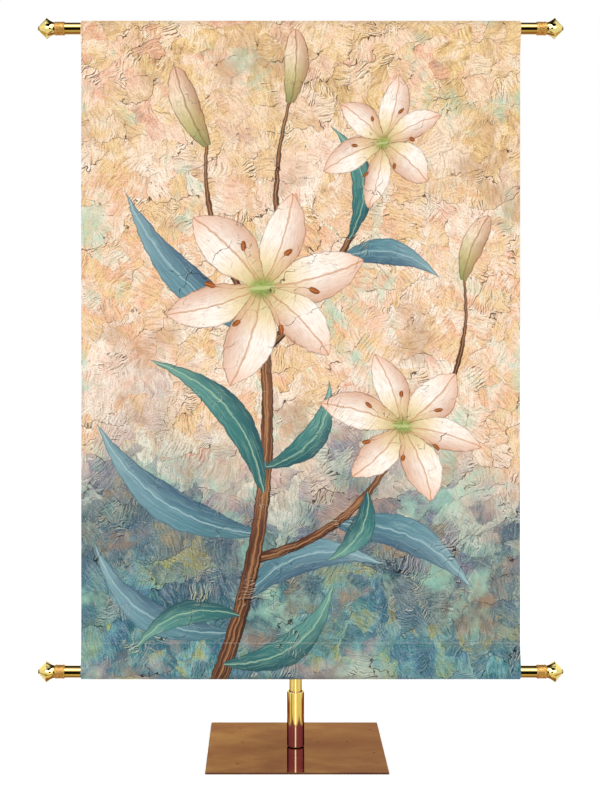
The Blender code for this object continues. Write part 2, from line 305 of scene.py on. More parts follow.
def bronzed_plate_brass():
    """Rolled brass plate toned brown and lacquered: a cloudy brown-gold mirror with a few dark pits."""
    material, tree = blank_material("bronzed_rolled_brass")
    place = add_node(tree, "ShaderNodeTexCoord").outputs["Object"]
    # The toning runs in clouds about 160 mm long across the sheet and 100 mm deep
    spread = add_node(tree, "ShaderNodeMapping", {"Vector": place, "Scale": (6.0, 10.0, 10.0)})
    cloud = add_node(
        tree,
        "ShaderNodeTexNoise",
        {"Vector": spread.outputs["Vector"], "Scale": 1.0, "Detail": 5.0, "Roughness": 0.6},
    )
    tint = add_node(tree, "ShaderNodeValToRGB", {"Fac": cloud})
    colour = fill_ramp(tint, [(0.32, "#785044"), (0.46, "#8C664C"), (0.56, "#9E7A56"), (0.70, "#AE8E64")])
    # Fine mottling, 4 mm across
    mottle = add_node(tree, "ShaderNodeTexNoise", {"Vector": place, "Scale": 250.0, "Detail": 2.0})
    colour = laid_over(tree, colour, linear("#6E4A3C"), mottle, 0.48, 0.72, 0.30)
    # Painted shade: darker round the foot of the post
    foot = add_node(tree, "ShaderNodeMapping", {"Vector": place, "Location": (-STAND_X - 0.04, 0.0, 0.0)})
    flat = add_node(
        tree,
        "ShaderNodeVectorMath",
        {0: foot.outputs["Vector"], 1: (0.45, 1.0, 0.0)},
        operation="MULTIPLY",
    )
    away = add_node(tree, "ShaderNodeVectorMath", {0: flat.outputs["Vector"]}, operation="LENGTH")
    colour = laid_over(tree, colour, linear("#5A3234"), away.outputs["Value"], 0.14, 0.01, 0.62)
    # Painted shade: the plate darker towards its right side
    across = add_node(tree, "ShaderNodeSeparateXYZ", {"Vector": place}).outputs["X"]
    colour = laid_over(tree, colour, linear("#6A4844"), across, -0.10, 0.16, 0.42)
    # Pits about 5 mm across, in one cell of every five
    pit_cell, clean_share = 55 * MM, 0.80
    pits = add_node(
        tree,
        "ShaderNodeTexVoronoi",
        {"Vector": place, "Scale": 1.0 / pit_cell, "Randomness": 0.8},
        voronoi_dimensions="2D",
    )
    edge = {"From Min": 3.2 * MM / pit_cell, "From Max": 2.2 * MM / pit_cell}
    pit = add_node(tree, "ShaderNodeMapRange", {"Value": pits.outputs["Distance"], **edge})
    chosen = add_node(tree, "ShaderNodeSeparateColor", {"Color": pits.outputs["Color"]})
    some = {0: chosen.outputs["Red"], 1: clean_share}
    some = add_node(tree, "ShaderNodeMath", some, operation="GREATER_THAN")
    holed = add_node(tree, "ShaderNodeMath", {0: pit, 1: some}, operation="MULTIPLY")
    colour = laid_over(tree, colour, linear("#0E0A08"), holed)
    # Rolling lines along X, 0.8 mm apart where the real ones are finer
    rolled = add_node(tree, "ShaderNodeMapping", {"Vector": place, "Scale": (6.0, 1250.0, 1250.0)})
    lines = add_node(tree, "ShaderNodeTexNoise", {"Vector": rolled.outputs["Vector"], "Scale": 1.0})
    bump = add_node(tree, "ShaderNodeBump", {"Height": lines, "Strength": 0.05, "Distance": 0.03 * MM})
    rough = add_node(
        tree,
        "ShaderNodeMapRange",
        {"Value": cloud, "From Min": 0.3, "From Max": 0.7, "To Min": 0.05, "To Max": 0.09},
    )
    shader = add_node(
        tree,
        "ShaderNodeBsdfPrincipled",
        {
            "Base Color": colour,
            "Metallic": 1.0,
            "Specular Tint": linear("#DAC4B4"),
            "Roughness": rough,
            "Normal": bump,
        },
    )
    return close_material(material, shader)


# Turned pieces, by Geometry Nodes


def open_tree(name, inputs, output):
    """A Geometry Nodes tree with these inputs and one geometry as output, and what its inputs give."""
    tree = bpy.data.node_groups.new(name, "GeometryNodeTree")
    for label, kind in inputs.items():
        tree.interface.new_socket(label, in_out="INPUT", socket_type="NodeSocket" + kind)
    tree.interface.new_socket(output, in_out="OUTPUT", socket_type="NodeSocketGeometry")
    return tree, add_node(tree, "NodeGroupInput").outputs


def close_tree(tree, geometry, material, output):
    """Makes instances real, shades them smooth and gives them their material, as the tree's output."""
    for kind in ("GeometryNodeRealizeInstances", "GeometryNodeSetShadeSmooth"):
        geometry = add_node(tree, kind, {"Geometry": geometry}).outputs["Geometry"]
    dressed = {"Geometry": geometry, "Material": material}
    dressed = add_node(tree, "GeometryNodeSetMaterial", dressed).outputs["Geometry"]
    add_node(tree, "NodeGroupOutput", {output: dressed})
    return tree


def turning_tree():
    """A tree that turns a profile, drawn as points (radius, 0, height), about the Z axis."""
    inputs = {"Profile": "Geometry", "Steps": "Int", "Weld distance": "Float", "Finish": "Material"}
    tree, given = open_tree("turned_piece", inputs, "Piece")
    size = add_node(tree, "GeometryNodeAttributeDomainSize", {"Geometry": given["Profile"]})
    columns = add_node(tree, "ShaderNodeMath", {0: given["Steps"], 1: 1.0}, operation="ADD")
    grid = add_node(
        tree, "GeometryNodeMeshGrid", {"Vertices X": size.outputs["Point Count"], "Vertices Y": columns}
    )
    index = add_node(tree, "GeometryNodeInputIndex").outputs["Index"]
    ratio = add_node(tree, "ShaderNodeMath", {0: index, 1: columns}, operation="DIVIDE")
    row = add_node(tree, "ShaderNodeMath", {0: ratio}, operation="FLOOR")
    column = add_node(tree, "ShaderNodeMath", {0: index, 1: columns}, operation="MODULO")
    position = add_node(tree, "GeometryNodeInputPosition").outputs["Position"]
    drawn = add_node(
        tree,
        "GeometryNodeSampleIndex",
        {"Geometry": given["Profile"], "Index": row},
        data_type="FLOAT_VECTOR",
    )
    tree.links.new(position, drawn.inputs["Value"])
    parts = add_node(tree, "ShaderNodeSeparateXYZ", {"Vector": drawn.outputs["Value"]}).outputs
    share = add_node(tree, "ShaderNodeMath", {0: column, 1: given["Steps"]}, operation="DIVIDE")
    angle = add_node(tree, "ShaderNodeMath", {0: share, 1: math.tau}, operation="MULTIPLY")
    around = []
    for operation in ("COSINE", "SINE"):
        wave = add_node(tree, "ShaderNodeMath", {0: angle}, operation=operation)
        reach = {0: wave, 1: parts["X"]}
        around.append(add_node(tree, "ShaderNodeMath", reach, operation="MULTIPLY"))
    place = add_node(tree, "ShaderNodeCombineXYZ", {"X": around[0], "Y": around[1], "Z": parts["Z"]})
    turned = add_node(
        tree,
        "GeometryNodeSetPosition",
        {"Geometry": grid.outputs["Mesh"], "Position": place.outputs["Vector"]},
    )
    welded = add_node(
        tree,
        "GeometryNodeMergeByDistance",
        {"Geometry": turned.outputs["Geometry"], "Distance": given["Weld distance"]},
    )
    return close_tree(tree, welded.outputs["Geometry"], given["Finish"], "Piece")


def grown(name, start, tree, values):
    """The plain mesh that a tree grows from a start mesh, with the tree's named inputs set first."""
    seed = placed(name, start)
    modifier = seed.modifiers.new("Grow", "NODES")
    modifier.node_group = tree
    for socket in tree.interface.items_tree:
        if socket.in_out == "INPUT" and socket.name in values:
            modifier[socket.identifier] = values[socket.name]
    graph = bpy.context.evaluated_depsgraph_get()
    mesh = bpy.data.meshes.new_from_object(seed.evaluated_get(graph))
    bpy.data.objects.remove(seed)
    return mesh


def rounded(corners, closed=True):
    """A profile through (radius, height, fillet) corners, each fillet an arc between two hold lines."""
    points = []
    count = len(corners)
    for i, (radius, height, fillet) in enumerate(corners):
        here = Vector((radius, height))
        if fillet == 0.0 or (not closed and i in (0, count - 1)):
            points.append(here)
            continue
        before = Vector(corners[i - 1][:2]) - here
        after = Vector(corners[(i + 1) % count][:2]) - here
        rooms = (before.length, after.length)
        before.normalize()
        after.normalize()
        half = before.angle(after) / 2
        reach = min(fillet / math.tan(half), FILLET_ROOM * rooms[0], FILLET_ROOM * rooms[1])
        start = here + before * reach
        end = here + after * reach
        points.append(here + before * min(HOLD_REACH * reach, HOLD_ROOM * rooms[0]))
        for step in range(FILLET_STEPS + 1):
            share = step / FILLET_STEPS
            points.append(start.lerp(here, share).lerp(here.lerp(end, share), share))
        points.append(here + after * min(HOLD_REACH * reach, HOLD_ROOM * rooms[1]))
    return [(point.x, point.y) for point in points]


def profile_mesh(name, profile, closed):
    """Loose points of a profile; a closed one comes back to its first point."""
    points = list(profile)
    if closed:
        points.append(points[0])
    mesh = bpy.data.meshes.new(name)
    mesh.from_pydata([(radius, 0.0, height) for radius, height in points], [], [])
    return mesh


def outward(mesh):
    """Turns a closed mesh's faces outwards."""
    shell = bmesh.new()
    shell.from_mesh(mesh)
    bmesh.ops.recalc_face_normals(shell, faces=shell.faces)
    shell.to_mesh(mesh)
    shell.free()


def add_piece(name, mesh, slot_name, *nodes):
    """Puts a finished mesh in the scene on the one body, in place of the CAD nodes it stands for."""
    piece = placed(name, mesh)
    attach(piece, "root")
    if nodes:
        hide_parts(*nodes)
    return piece


def turned(tree, node, profile, place, finish, slot_name, steps=TURN_STEPS, closed=True, bored=None):
    """Turns a profile and puts it where a CAD node is, with its axis where the matrix says.

    bored gives a radius and a dark finish, painted shade, for the faces that lie nearer the axis than that.
    """
    values = {"Steps": steps, "Weld distance": WELD_DISTANCE, "Finish": finish}
    mesh = grown(node, profile_mesh(node + "_profile", profile, closed), tree, values)
    if bored:
        radius, shade_finish = bored
        mesh.materials.append(shade_finish)
        for face in mesh.polygons:
            if math.hypot(face.center.x, face.center.y) < radius:
                face.material_index = 1
    mesh.transform(place)
    outward(mesh)
    return add_piece(node + "_turned", mesh, slot_name, node)


def tube_profile(radius, wall, low, high, edge):
    """A tube with softened ends."""
    inner = radius - wall
    corners = ((radius, high), (radius, low), (inner, low), (inner, high))
    return rounded([(*corner, edge) for corner in corners])


def collar_profile():
    """A bright chamfered ring, a slightly sunk grainy band and a bead."""
    bore = ROD_RADIUS + GAP
    sunk = COLLAR_RADIUS - COLLAR_SUNK
    bead_start = COLLAR_LENGTH - COLLAR_BEAD
    edge = 0.3 * MM
    return rounded(
        [
            (bore, COLLAR_LENGTH, 0.0),
            (COLLAR_RADIUS - COLLAR_CHAMFER, COLLAR_LENGTH, edge),
            (COLLAR_RADIUS, COLLAR_LENGTH - COLLAR_CHAMFER, edge),
            (COLLAR_RADIUS, bead_start + COLLAR_CHAMFER, edge),
            (sunk, bead_start, edge),
            (sunk, COLLAR_RING + COLLAR_SUNK, edge),
            (COLLAR_RADIUS, COLLAR_RING, edge),
            (COLLAR_RADIUS, COLLAR_CHAMFER, edge),
            (COLLAR_RADIUS - COLLAR_CHAMFER, 0.0, edge),
            (bore, 0.0, 0.0),
        ]
    )


def finial_profile():
    """Cone, ridge, flared neck and spigot, with a blind hole for the button's stud."""
    hole = STUD_RADIUS + GAP
    hole_floor = FINIAL_LENGTH - STUD_LENGTH - GAP
    spigot = ROD_RADIUS - ROD_WALL - GAP
    cone = [
        (0.0, hole_floor, 0.0),
        (hole, hole_floor, 0.0),
        (hole, FINIAL_LENGTH, 0.15 * MM),
        (CONE_END_RADIUS, FINIAL_LENGTH, 0.5 * MM),
    ]
    flare = RIDGE_RADIUS - NECK_RADIUS
    neck = [(RIDGE_RADIUS, NECK_LENGTH, 0.35 * MM)]
    for step in range(NECK_STEPS - 2, 0, -1):
        share = step / NECK_STEPS
        neck.append((NECK_RADIUS + flare * share**NECK_POWER, NECK_LENGTH * share, 0.0))
    foot = [
        (NECK_RADIUS, 0.0, 0.3 * MM),
        (spigot, 0.0, 0.0),
        (spigot, -SPIGOT_LENGTH, 0.3 * MM),
        (0.0, -SPIGOT_LENGTH, 0.0),
    ]
    return rounded(cone + neck + foot, closed=False)


def button_profile():
    """A domed head over its seat, on a thin stud."""
    side = BUTTON_LENGTH / 2
    head = []
    for step in range(DOME_STEPS + 1):
        angle = math.pi / 2 * (1 - step / DOME_STEPS)
        head.append((BUTTON_RADIUS * math.cos(angle), side + side * math.sin(angle), 0.0))
    head[0] = (0.0, BUTTON_LENGTH, 0.0)
    foot = [
        (BUTTON_RADIUS, GAP, 0.3 * MM),
        (STUD_RADIUS, GAP, 0.0),
        (STUD_RADIUS, GAP - STUD_LENGTH, 0.2 * MM),
        (0.0, GAP - STUD_LENGTH, 0.0),
    ]
    return rounded(head + foot, closed=False)


def socket_profile():
    """A thick tube with a rounded lip, a mouth a little wide of the post and a groove at its foot."""
    bore = POST_RADIUS + GAP
    mouth = bore + MOUTH_WIDTH
    top = SOCKET_HIGH.z
    foot = SOCKET_LOW.z
    lip = 0.9 * MM
    groove = SOCKET_RADIUS - FOOT_GROOVE_DEPTH
    groove_top = foot + FOOT_GROOVE_HEIGHT
    return rounded(
        [
            (mouth, top, lip),
            (SOCKET_RADIUS, top, lip),
            (SOCKET_RADIUS, groove_top, 0.3 * MM),
            (groove, groove_top, 0.0),
            (groove, foot, 0.0),
            (bore, foot, 0.3 * MM),
            (bore, top - MOUTH_DEPTH, 0.0),
            (mouth, top - MOUTH_DEPTH, 0.2 * MM),
        ]
    )


def along_x(sign, start, height):
    """Stands a turned piece's axis along X, outwards on this side, from this distance."""
    outwards = Matrix.Rotation(sign * math.pi / 2, 4, "Y")
    return Matrix.Translation((sign * start, BANNER_Y, height)) @ outwards


def add_crossbars(tree, brass, satin, toned):
    """Both crossbars with their collars, finials and end buttons."""
    fittings = (
        ("collar", COLLAR_START, collar_profile(), satin, "satin_gold", TURN_STEPS, True),
        ("finial", FINIAL_START, finial_profile(), brass, "polished_brass", TURN_STEPS, False),
        ("button", BUTTON_START, button_profile(), toned, "satin_gold", SMALL_TURN_STEPS, False),
    )
    rod = tube_profile(ROD_RADIUS, ROD_WALL, -ROD_END, ROD_END, 0.25 * MM)
    for label, height in (("top", TOP_ROD_Z), ("bottom", BOTTOM_ROD_Z)):
        turned(tree, label + "_rod", rod, along_x(1.0, 0.0, height), brass, "polished_brass")
        for side, sign in (("left", -1.0), ("right", 1.0)):
            for kind, start, profile, finish, slot_name, steps, closed in fittings:
                node = f"{label}_{side}_{kind}"
                place = along_x(sign, start, height)
                turned(tree, node, profile, place, finish, slot_name, steps, closed)


def add_uprights(tree, brass, shade_finish):
    """The post in its socket, whose mouth, bore and foot groove are painted dark as shade."""
    place = Matrix.Translation((STAND_X, 0.0, 0.0))
    post = tube_profile(POST_RADIUS, POST_WALL, POST_LOW.z, POST_HIGH.z, 0.3 * MM)
    turned(tree, "post", post, place, brass, "polished_brass")
    # The dark finish of the mouth, bore and foot groove is painted shade
    bored = (SOCKET_RADIUS - FOOT_GROOVE_DEPTH / 2, shade_finish)
    turned(tree, "post_socket", socket_profile(), place, brass, "polished_brass", bored=bored)


# Saddle


def arc_points(radius, start, end, steps):
    angles = [start + (end - start) * step / steps for step in range(steps + 1)]
    return [(radius * math.cos(angle), radius * math.sin(angle)) for angle in angles]


def slab(name, outline, thickness, place):
    """An outline filled and given a thickness, put in place as one closed mesh."""
    mesh = bpy.data.meshes.new(name)
    shape = bmesh.new()
    rings = []
    for height in (-thickness / 2, thickness / 2):
        rings.append([shape.verts.new((x, y, height)) for x, y in outline])
    shape.faces.new(reversed(rings[0]))
    shape.faces.new(rings[1])
    for i, vert in enumerate(rings[0]):
        after = rings[0][i - 1]
        shape.faces.new((after, vert, rings[1][i], rings[1][i - 1]))
    bmesh.ops.recalc_face_normals(shape, faces=shape.faces)
    shape.to_mesh(mesh)
    shape.free()
    mesh.transform(place)
    return placed(name, mesh)


def add_saddle(brass):
    """The cradle under the top crossbar, its arm over the post and its plug, as one softened casting."""
    inner = ROD_RADIUS + GAP
    outer = inner + SADDLE_THICK
    back = math.radians(SADDLE_BACK_RISE_DEG)
    front = -math.pi / 2 - math.radians(SADDLE_PAST_BOTTOM_DEG)
    section = arc_points(outer, back, front, SADDLE_ARC_STEPS)
    section += arc_points(inner, front, back, SADDLE_ARC_STEPS)
    # Stands the section's x to the back and its y up
    on_edge = Matrix(((0, 0, 1, 0), (1, 0, 0, 0), (0, 1, 0, 0), (0, 0, 0, 1)))
    cradle_place = Matrix.Translation((STAND_X, BANNER_Y, TOP_ROD_Z)) @ on_edge
    cradle = slab("cradle", section, SADDLE_WIDTH, cradle_place)

    arm_reach = -BANNER_Y - inner - SADDLE_THICK / 2
    plan = arc_points(POST_RADIUS, 0.0, math.pi, SADDLE_ARC_STEPS)
    plan += [(-POST_RADIUS, -arm_reach), (POST_RADIUS, -arm_reach)]
    arm_z = TOP_ROD_Z - ARM_DROP - ARM_THICK / 2
    arm = slab("arm", plan, ARM_THICK, Matrix.Translation((STAND_X, 0.0, arm_z)))

    plug_radius = POST_RADIUS - POST_WALL - GAP
    plug_low = POST_HIGH.z - PLUG_LENGTH
    last = PLUG_STEPS - 1
    circle = arc_points(plug_radius, 0.0, math.tau * last / PLUG_STEPS, last)
    plug_place = Matrix.Translation((STAND_X, 0.0, (arm_z + plug_low) / 2))
    plug = slab("plug", circle, arm_z - plug_low, plug_place)

    for other in (arm, plug):
        union = cradle.modifiers.new("Join", "BOOLEAN")
        union.operation = "UNION"
        union.object = other
    soften = cradle.modifiers.new("Soften", "BEVEL")
    soften.width = SADDLE_SOFTENED
    soften.segments = 3
    soften.limit_method = "ANGLE"
    soften.angle_limit = math.radians(SOFTENED_FROM_DEG)
    graph = bpy.context.evaluated_depsgraph_get()
    mesh = bpy.data.meshes.new_from_object(cradle.evaluated_get(graph))
    for obj in (cradle, arm, plug):
        bpy.data.objects.remove(obj)
    mesh.materials.clear()
    mesh.materials.append(brass)
    mesh.shade_smooth()
    mesh.set_sharp_from_angle(angle=math.radians(SADDLE_SHARP_DEG))
    add_piece("post_saddle_cast", mesh, "polished_brass", "post_saddle")


# Cloth


def sleeve_path(crease_up):
    """Mid-surface of one sleeve from its seam round to its tail's end, as (back, up) points.

    It starts on the front layer, level with the seam, goes over the crossbar through the pressed
    crease, and comes down behind to lie on the front layer.
    """
    radius = ROD_RADIUS + GAP + CLOTH_THICK / 2
    crease = crease_up - CLOTH_THICK / 2
    seam = crease_up - SLEEVE_DEPTH
    back = CLOTH_THICK + LAYERS_APART

    def touch(foot, side):
        away = math.acos(radius / math.hypot(*foot))
        return math.atan2(foot[1], foot[0]) + side * away

    half = math.acos(radius / crease)
    front_start = touch((0.0, seam), -1.0) + math.tau
    front = arc_points(radius, front_start, math.pi / 2 + half, SLEEVE_ARC_STEPS)
    behind_end = touch((back, seam), 1.0)
    behind = arc_points(radius, math.pi / 2 - half, behind_end, SLEEVE_ARC_STEPS)
    return [(0.0, seam), *front, (0.0, crease), *behind, (back, seam), (back, seam - SEAM_TAIL)]


def evenly(points, step):
    """Points along a path at an even step, and how far along each one lies."""
    path = np.array(points)
    lengths = np.hypot(*np.diff(path, axis=0).T)
    along = np.concatenate([[0.0], np.cumsum(lengths)])
    count = max(2, round(along[-1] / step))
    wanted = np.linspace(0.0, along[-1], count + 1)
    spots = [np.interp(wanted, along, path[:, axis]) for axis in (0, 1)]
    return np.stack(spots, axis=1), wanted


def strip_path():
    """The whole strip from the bottom tail's end to the top one's: (y, z) and print height, in metres.

    The print height is z on the front layer and runs on along the cloth past each crease.
    """
    sleeve, along = evenly(sleeve_path(CREASE_REACH), SLEEVE_MESH_STEP)
    seam_z = CREASE_REACH - SLEEVE_DEPTH
    top = [(BANNER_Y + back, TOP_ROD_Z + up) for back, up in sleeve]
    bottom = [(BANNER_Y + back, BOTTOM_ROD_Z - up) for back, up in sleeve]
    top_print = TOP_ROD_Z + seam_z + along
    bottom_print = BOTTOM_ROD_Z - seam_z - along
    front_steps = round((TOP_ROD_Z + seam_z - BOTTOM_ROD_Z + seam_z) / FRONT_MESH_STEP)
    heights = np.linspace(BOTTOM_ROD_Z - seam_z, TOP_ROD_Z + seam_z, front_steps + 1)[1:-1]
    front = [(BANNER_Y, height) for height in heights]
    places = np.array(bottom[::-1] + front + top)
    prints = np.concatenate([bottom_print[::-1], heights, top_print])
    return places, prints


def strip_length():
    """Flat length of the strip, from tail end to tail end."""
    places, _ = strip_path()
    return float(np.hypot(*np.diff(places, axis=0).T).sum())


# Print: painted flowers, each shape as a curved axis with a half width

Shape = namedtuple("Shape", "x y to_x to_y bend half_width")
Flower = namedtuple("Flower", "x y radius turn lean squash")
Look = namedtuple("Look", "outline along shade rib rib_width contour streaks soft")

# Half width along each kind of shape, from its root to its tip
OUTLINES = {
    "petal": [(0.0, 0.26), (0.2, 0.62), (0.48, 1.0), (0.75, 0.78), (0.92, 0.34), (1.0, 0.0)],
    "leaf": [(0.0, 0.12), (0.2, 0.75), (0.42, 1.0), (0.72, 0.62), (0.92, 0.2), (1.0, 0.0)],
    "bough": [(0.0, 1.15), (0.12, 0.98), (0.5, 0.82), (1.0, 0.52)],
    "bud": [(0.0, 0.3), (0.25, 0.72), (0.6, 1.0), (0.85, 0.72), (1.0, 0.12)],
    "stamen": [(0.0, 0.3), (0.76, 0.24), (0.8, 0.7), (0.88, 1.0), (0.96, 0.75), (1.0, 0.0)],
    "throat": [(0.0, 0.0), (0.15, 0.71), (0.5, 1.0), (0.85, 0.71), (1.0, 0.0)],
}

# The most that an outline widens a shape
WIDEST = 1.2


def rooted(bough, share, to_x, to_y, bend, half_width):
    """A shape whose root lies on a bough's curved axis, at a share of its length."""
    run_x, run_y = bough.to_x - bough.x, bough.to_y - bough.y
    sway = 4 * bough.bend * share * (1 - share)
    x = bough.x + share * run_x - sway * run_y
    y = bough.y + share * run_y + sway * run_x
    return Shape(x, y, to_x, to_y, bend, half_width)


# In millimetres from the middle of the cloth
FLOWERS = [
    Flower(-80, 130, 222, 14, 35, 0.93),
    Flower(212, -158, 180, 47, -30, 0.86),
    Flower(172, 432, 150, 80, 60, 0.82),
]
STEM = Shape(-205, -770, -84, 90, -0.07, 19)
BOUGH = rooted(STEM, 0.40, 205, -190, -0.13, 12)
TWIG = rooted(STEM, 0.90, 160, 400, -0.08, 10)
BRANCHES = [
    BOUGH,
    TWIG,
    rooted(STEM, 0.97, -196, 430, 0.10, 8),
    rooted(TWIG, 0.20, -22, 520, 0.08, 8),
    rooted(BOUGH, 0.93, 340, 150, -0.14, 7),
]
BACK_LEAVES = [
    rooted(STEM, 0.22, -432, -395, 0.20, 32),
    rooted(STEM, 0.46, -425, -150, 0.14, 38),
    rooted(STEM, 0.30, 178, -450, 0.20, 36),
    rooted(BOUGH, 0.45, 360, -500, 0.14, 36),
    rooted(STEM, 0.94, -365, 330, 0.10, 36),
    rooted(TWIG, 0.52, 290, 150, 0.16, 28),
]
FRONT_LEAVES = [
    rooted(STEM, 0.14, 70, -480, -0.20, 32),
    rooted(STEM, 0.26, -350, -630, -0.18, 26),
    rooted(STEM, 0.56, -320, -20, -0.16, 32),
    rooted(STEM, 0.62, 60, -60, -0.2, 28),
    rooted(BOUGH, 0.70, 50, -440, 0.18, 26),
    rooted(TWIG, 0.62, 60, 470, -0.2, 24),
]
BUDS = [
    Shape(-194, 425, -262, 590, 0.05, 30),
    Shape(-22, 515, -12, 668, -0.05, 27),
    Shape(338, 145, 392, 280, 0.06, 25),
]


def spoke(flower, angle, swing, start, reach, bend, half_width):
    """A shape out from a flower's middle at an angle, with its tip swung on a little."""
    root = (start * math.cos(angle), start * math.sin(angle))
    tip = (reach * math.cos(angle + swing), reach * math.sin(angle + swing))
    return flower, Shape(*root, *tip, bend, half_width)


def petals(first):
    """The two opposite petals of each flower that one layer holds, in the flower's own plane."""
    rows = []
    for flower in FLOWERS:
        for half in (0, 1):
            angle = math.radians(flower.turn + first * 60 + half * 180)
            reach = flower.radius * (0.96 if (first + half) % 2 else 1.0)
            width = flower.radius * (0.21 if (first + half) % 2 else 0.245)
            bend = 0.05 if half else -0.05
            rows.append(spoke(flower, angle, 0.0, 0.03 * reach, reach, bend, width))
    return rows


def stamens():
    """Six curved filaments with their heads in each flower."""
    rows = []
    for flower in FLOWERS:
        for i in range(6):
            angle = math.radians(flower.turn + 28 + 60 * i)
            reach = flower.radius * (0.46 + 0.05 * (i % 3))
            start, width = 0.07 * flower.radius, 0.032 * flower.radius
            rows.append(spoke(flower, angle, 0.2, start, reach, 0.08, width))
    return rows


def throats():
    rows = []
    for flower in FLOWERS:
        reach = 0.13 * flower.radius
        rows.append((flower, Shape(-reach, 0.0, reach, 0.0, 0.0, reach)))
    return rows


def on_cloth(shapes):
    return [(None, shape) for shape in shapes]


# The layers of shapes, from the lowest up
PAINTED = {
    "back_leaves": on_cloth(BACK_LEAVES),
    "branches": on_cloth(BRANCHES),
    "main_stem": on_cloth([STEM]),
    "front_leaves": on_cloth(FRONT_LEAVES),
    "buds": on_cloth(BUDS),
    "petals_a": petals(0),
    "petals_b": petals(1),
    "petals_c": petals(2),
    "throats": throats(),
    "stamens": stamens(),
}


def flower_plane(flower, x, y):
    """Cloth places in a flower's own plane, which leans away and looks narrower along one line."""
    if flower is None:
        return x, y
    lean = math.radians(flower.lean)
    side = (x - flower.x) * math.cos(lean) + (y - flower.y) * math.sin(lean)
    rise = (y - flower.y) * math.cos(lean) - (x - flower.x) * math.sin(lean)
    rise = rise / flower.squash
    return (side * math.cos(lean) - rise * math.sin(lean), side * math.sin(lean) + rise * math.cos(lean))


def painted_layer(kind, rows, x, y):
    """For each place, the shape it is deepest in: distance from its axis, share, half width and depth."""
    best = np.zeros((len(x), 4), np.float32)
    best[:, 3] = -1000.0
    outline = np.array(OUTLINES[kind])
    for flower, shape in rows:
        across_x, across_y = flower_plane(flower, x, y)
        run_x, run_y = shape.to_x - shape.x, shape.to_y - shape.y
        length = math.hypot(run_x, run_y)
        run_x, run_y = run_x / length, run_y / length
        from_x, from_y = across_x - shape.x, across_y - shape.y
        share = (from_x * run_x + from_y * run_y) / length
        side = from_y * run_x - from_x * run_y - 4 * shape.bend * length * share * (1 - share)
        reach = np.interp(share, outline[:, 0], outline[:, 1]) * shape.half_width
        depth = reach - np.abs(side)
        beyond = np.maximum(0.0, np.maximum(-share, share - 1.0)) * length
        depth = depth - beyond
        deeper = depth > best[:, 3]
        values = np.stack([side, share, np.full_like(side, shape.half_width), depth], axis=1)
        best[deeper] = values[deeper]
    return best


def cloth_sheet():
    """The strip's mid-surface as a grid, open behind the saddle, with the print laid out on its points."""
    places, prints = strip_path()
    columns = 2 * round(CLOTH_WIDTH / ACROSS_MESH_STEP / 2)
    across = np.linspace(CLOTH_LOW.x, CLOTH_HIGH.x, columns + 1)
    notch = (STAND_X - NOTCH_WIDTH / 2, STAND_X + NOTCH_WIDTH / 2)
    for side in notch:
        across[np.argmin(np.abs(across - side))] = side
    rows = len(places)
    x = np.tile(across, rows)
    y = np.repeat(places[:, 0], len(across))
    z = np.repeat(places[:, 1], len(across))
    print_z = np.repeat(prints, len(across))

    behind = (places[:, 0] > BANNER_Y + CLOTH_THICK / 2) & (places[:, 1] > CLOTH_MIDDLE_Z)
    open_row = behind & (places[:, 1] < TOP_ROD_Z + NOTCH_RISE)
    faces = []
    wide = len(across)
    middle = (across[:-1] + across[1:]) / 2
    open_column = (middle > notch[0]) & (middle < notch[1])
    for row in range(rows - 1):
        for column in range(wide - 1):
            if open_column[column] and open_row[row] and open_row[row + 1]:
                continue
            first = row * wide + column
            faces.append((first, first + 1, first + wide + 1, first + wide))
    mesh = bpy.data.meshes.new("banner_cloth_sheet")
    mesh.from_pydata(np.stack([x, y, z], axis=1).tolist(), [], faces)

    spot = mesh.attributes.new("print_place", "FLOAT_VECTOR", "POINT")
    spot.data.foreach_set("vector", np.stack([x, print_z, 0 * x], axis=1).ravel())
    in_mm = (x / MM, (print_z - CLOTH_MIDDLE_Z) / MM)
    for name, shapes in PAINTED.items():
        layer = mesh.attributes.new(name, "FLOAT_COLOR", "POINT")
        layer.data.foreach_set("color", painted_layer(LOOKS[name].outline, shapes, *in_mm).ravel())
    loose = bmesh.new()
    loose.from_mesh(mesh)
    bmesh.ops.delete(loose, geom=[v for v in loose.verts if not v.link_faces], context="VERTS")
    loose.to_mesh(mesh)
    loose.free()
    return mesh


# Palette-knife work of the ground from the broad coat up: the mean size of a dab in metres, its turn
# and how far that varies, how ragged its edge is, which share of dabs is left out, and its thickness
Dabs = namedtuple("Dabs", "size turn_deg varies_deg ragged bare raised")
COATS = (
    Dabs(0.130, 60.0, 80.0, 0.080, -0.50, 0.60),
    Dabs(0.075, 10.0, 120.0, 0.044, 0.38, 0.80),
    Dabs(0.040, -50.0, 160.0, 0.026, 0.56, 1.00),
)
# Furrows that the tool leaves in the paint
FURROW_PITCH = 4.0 * MM
FURROW_LENGTH = 34.0 * MM
# Towards the light that fell on the painting: up and to the left
LIGHT_STEP = (-1.0 * MM, 1.5 * MM)


def shifted(tree, place, x, y):
    return add_node(tree, "ShaderNodeVectorMath", {0: place, 1: (x, y, 0.0)})


def ragged_place(tree, moved, coat):
    """A place on the cloth, pushed about so that a coat's dabs get uneven edges."""
    drift = add_node(
        tree,
        "ShaderNodeTexNoise",
        {"Vector": moved, "Scale": 0.9 / coat.size, "Detail": 3.0, "Roughness": 0.55},
        noise_dimensions="2D",
    )
    return add_node(
        tree,
        "ShaderNodeVectorMath",
        {0: drift.outputs["Color"], 1: (2.0 * coat.ragged,) * 3, 2: moved},
        operation="MULTIPLY_ADD",
    )


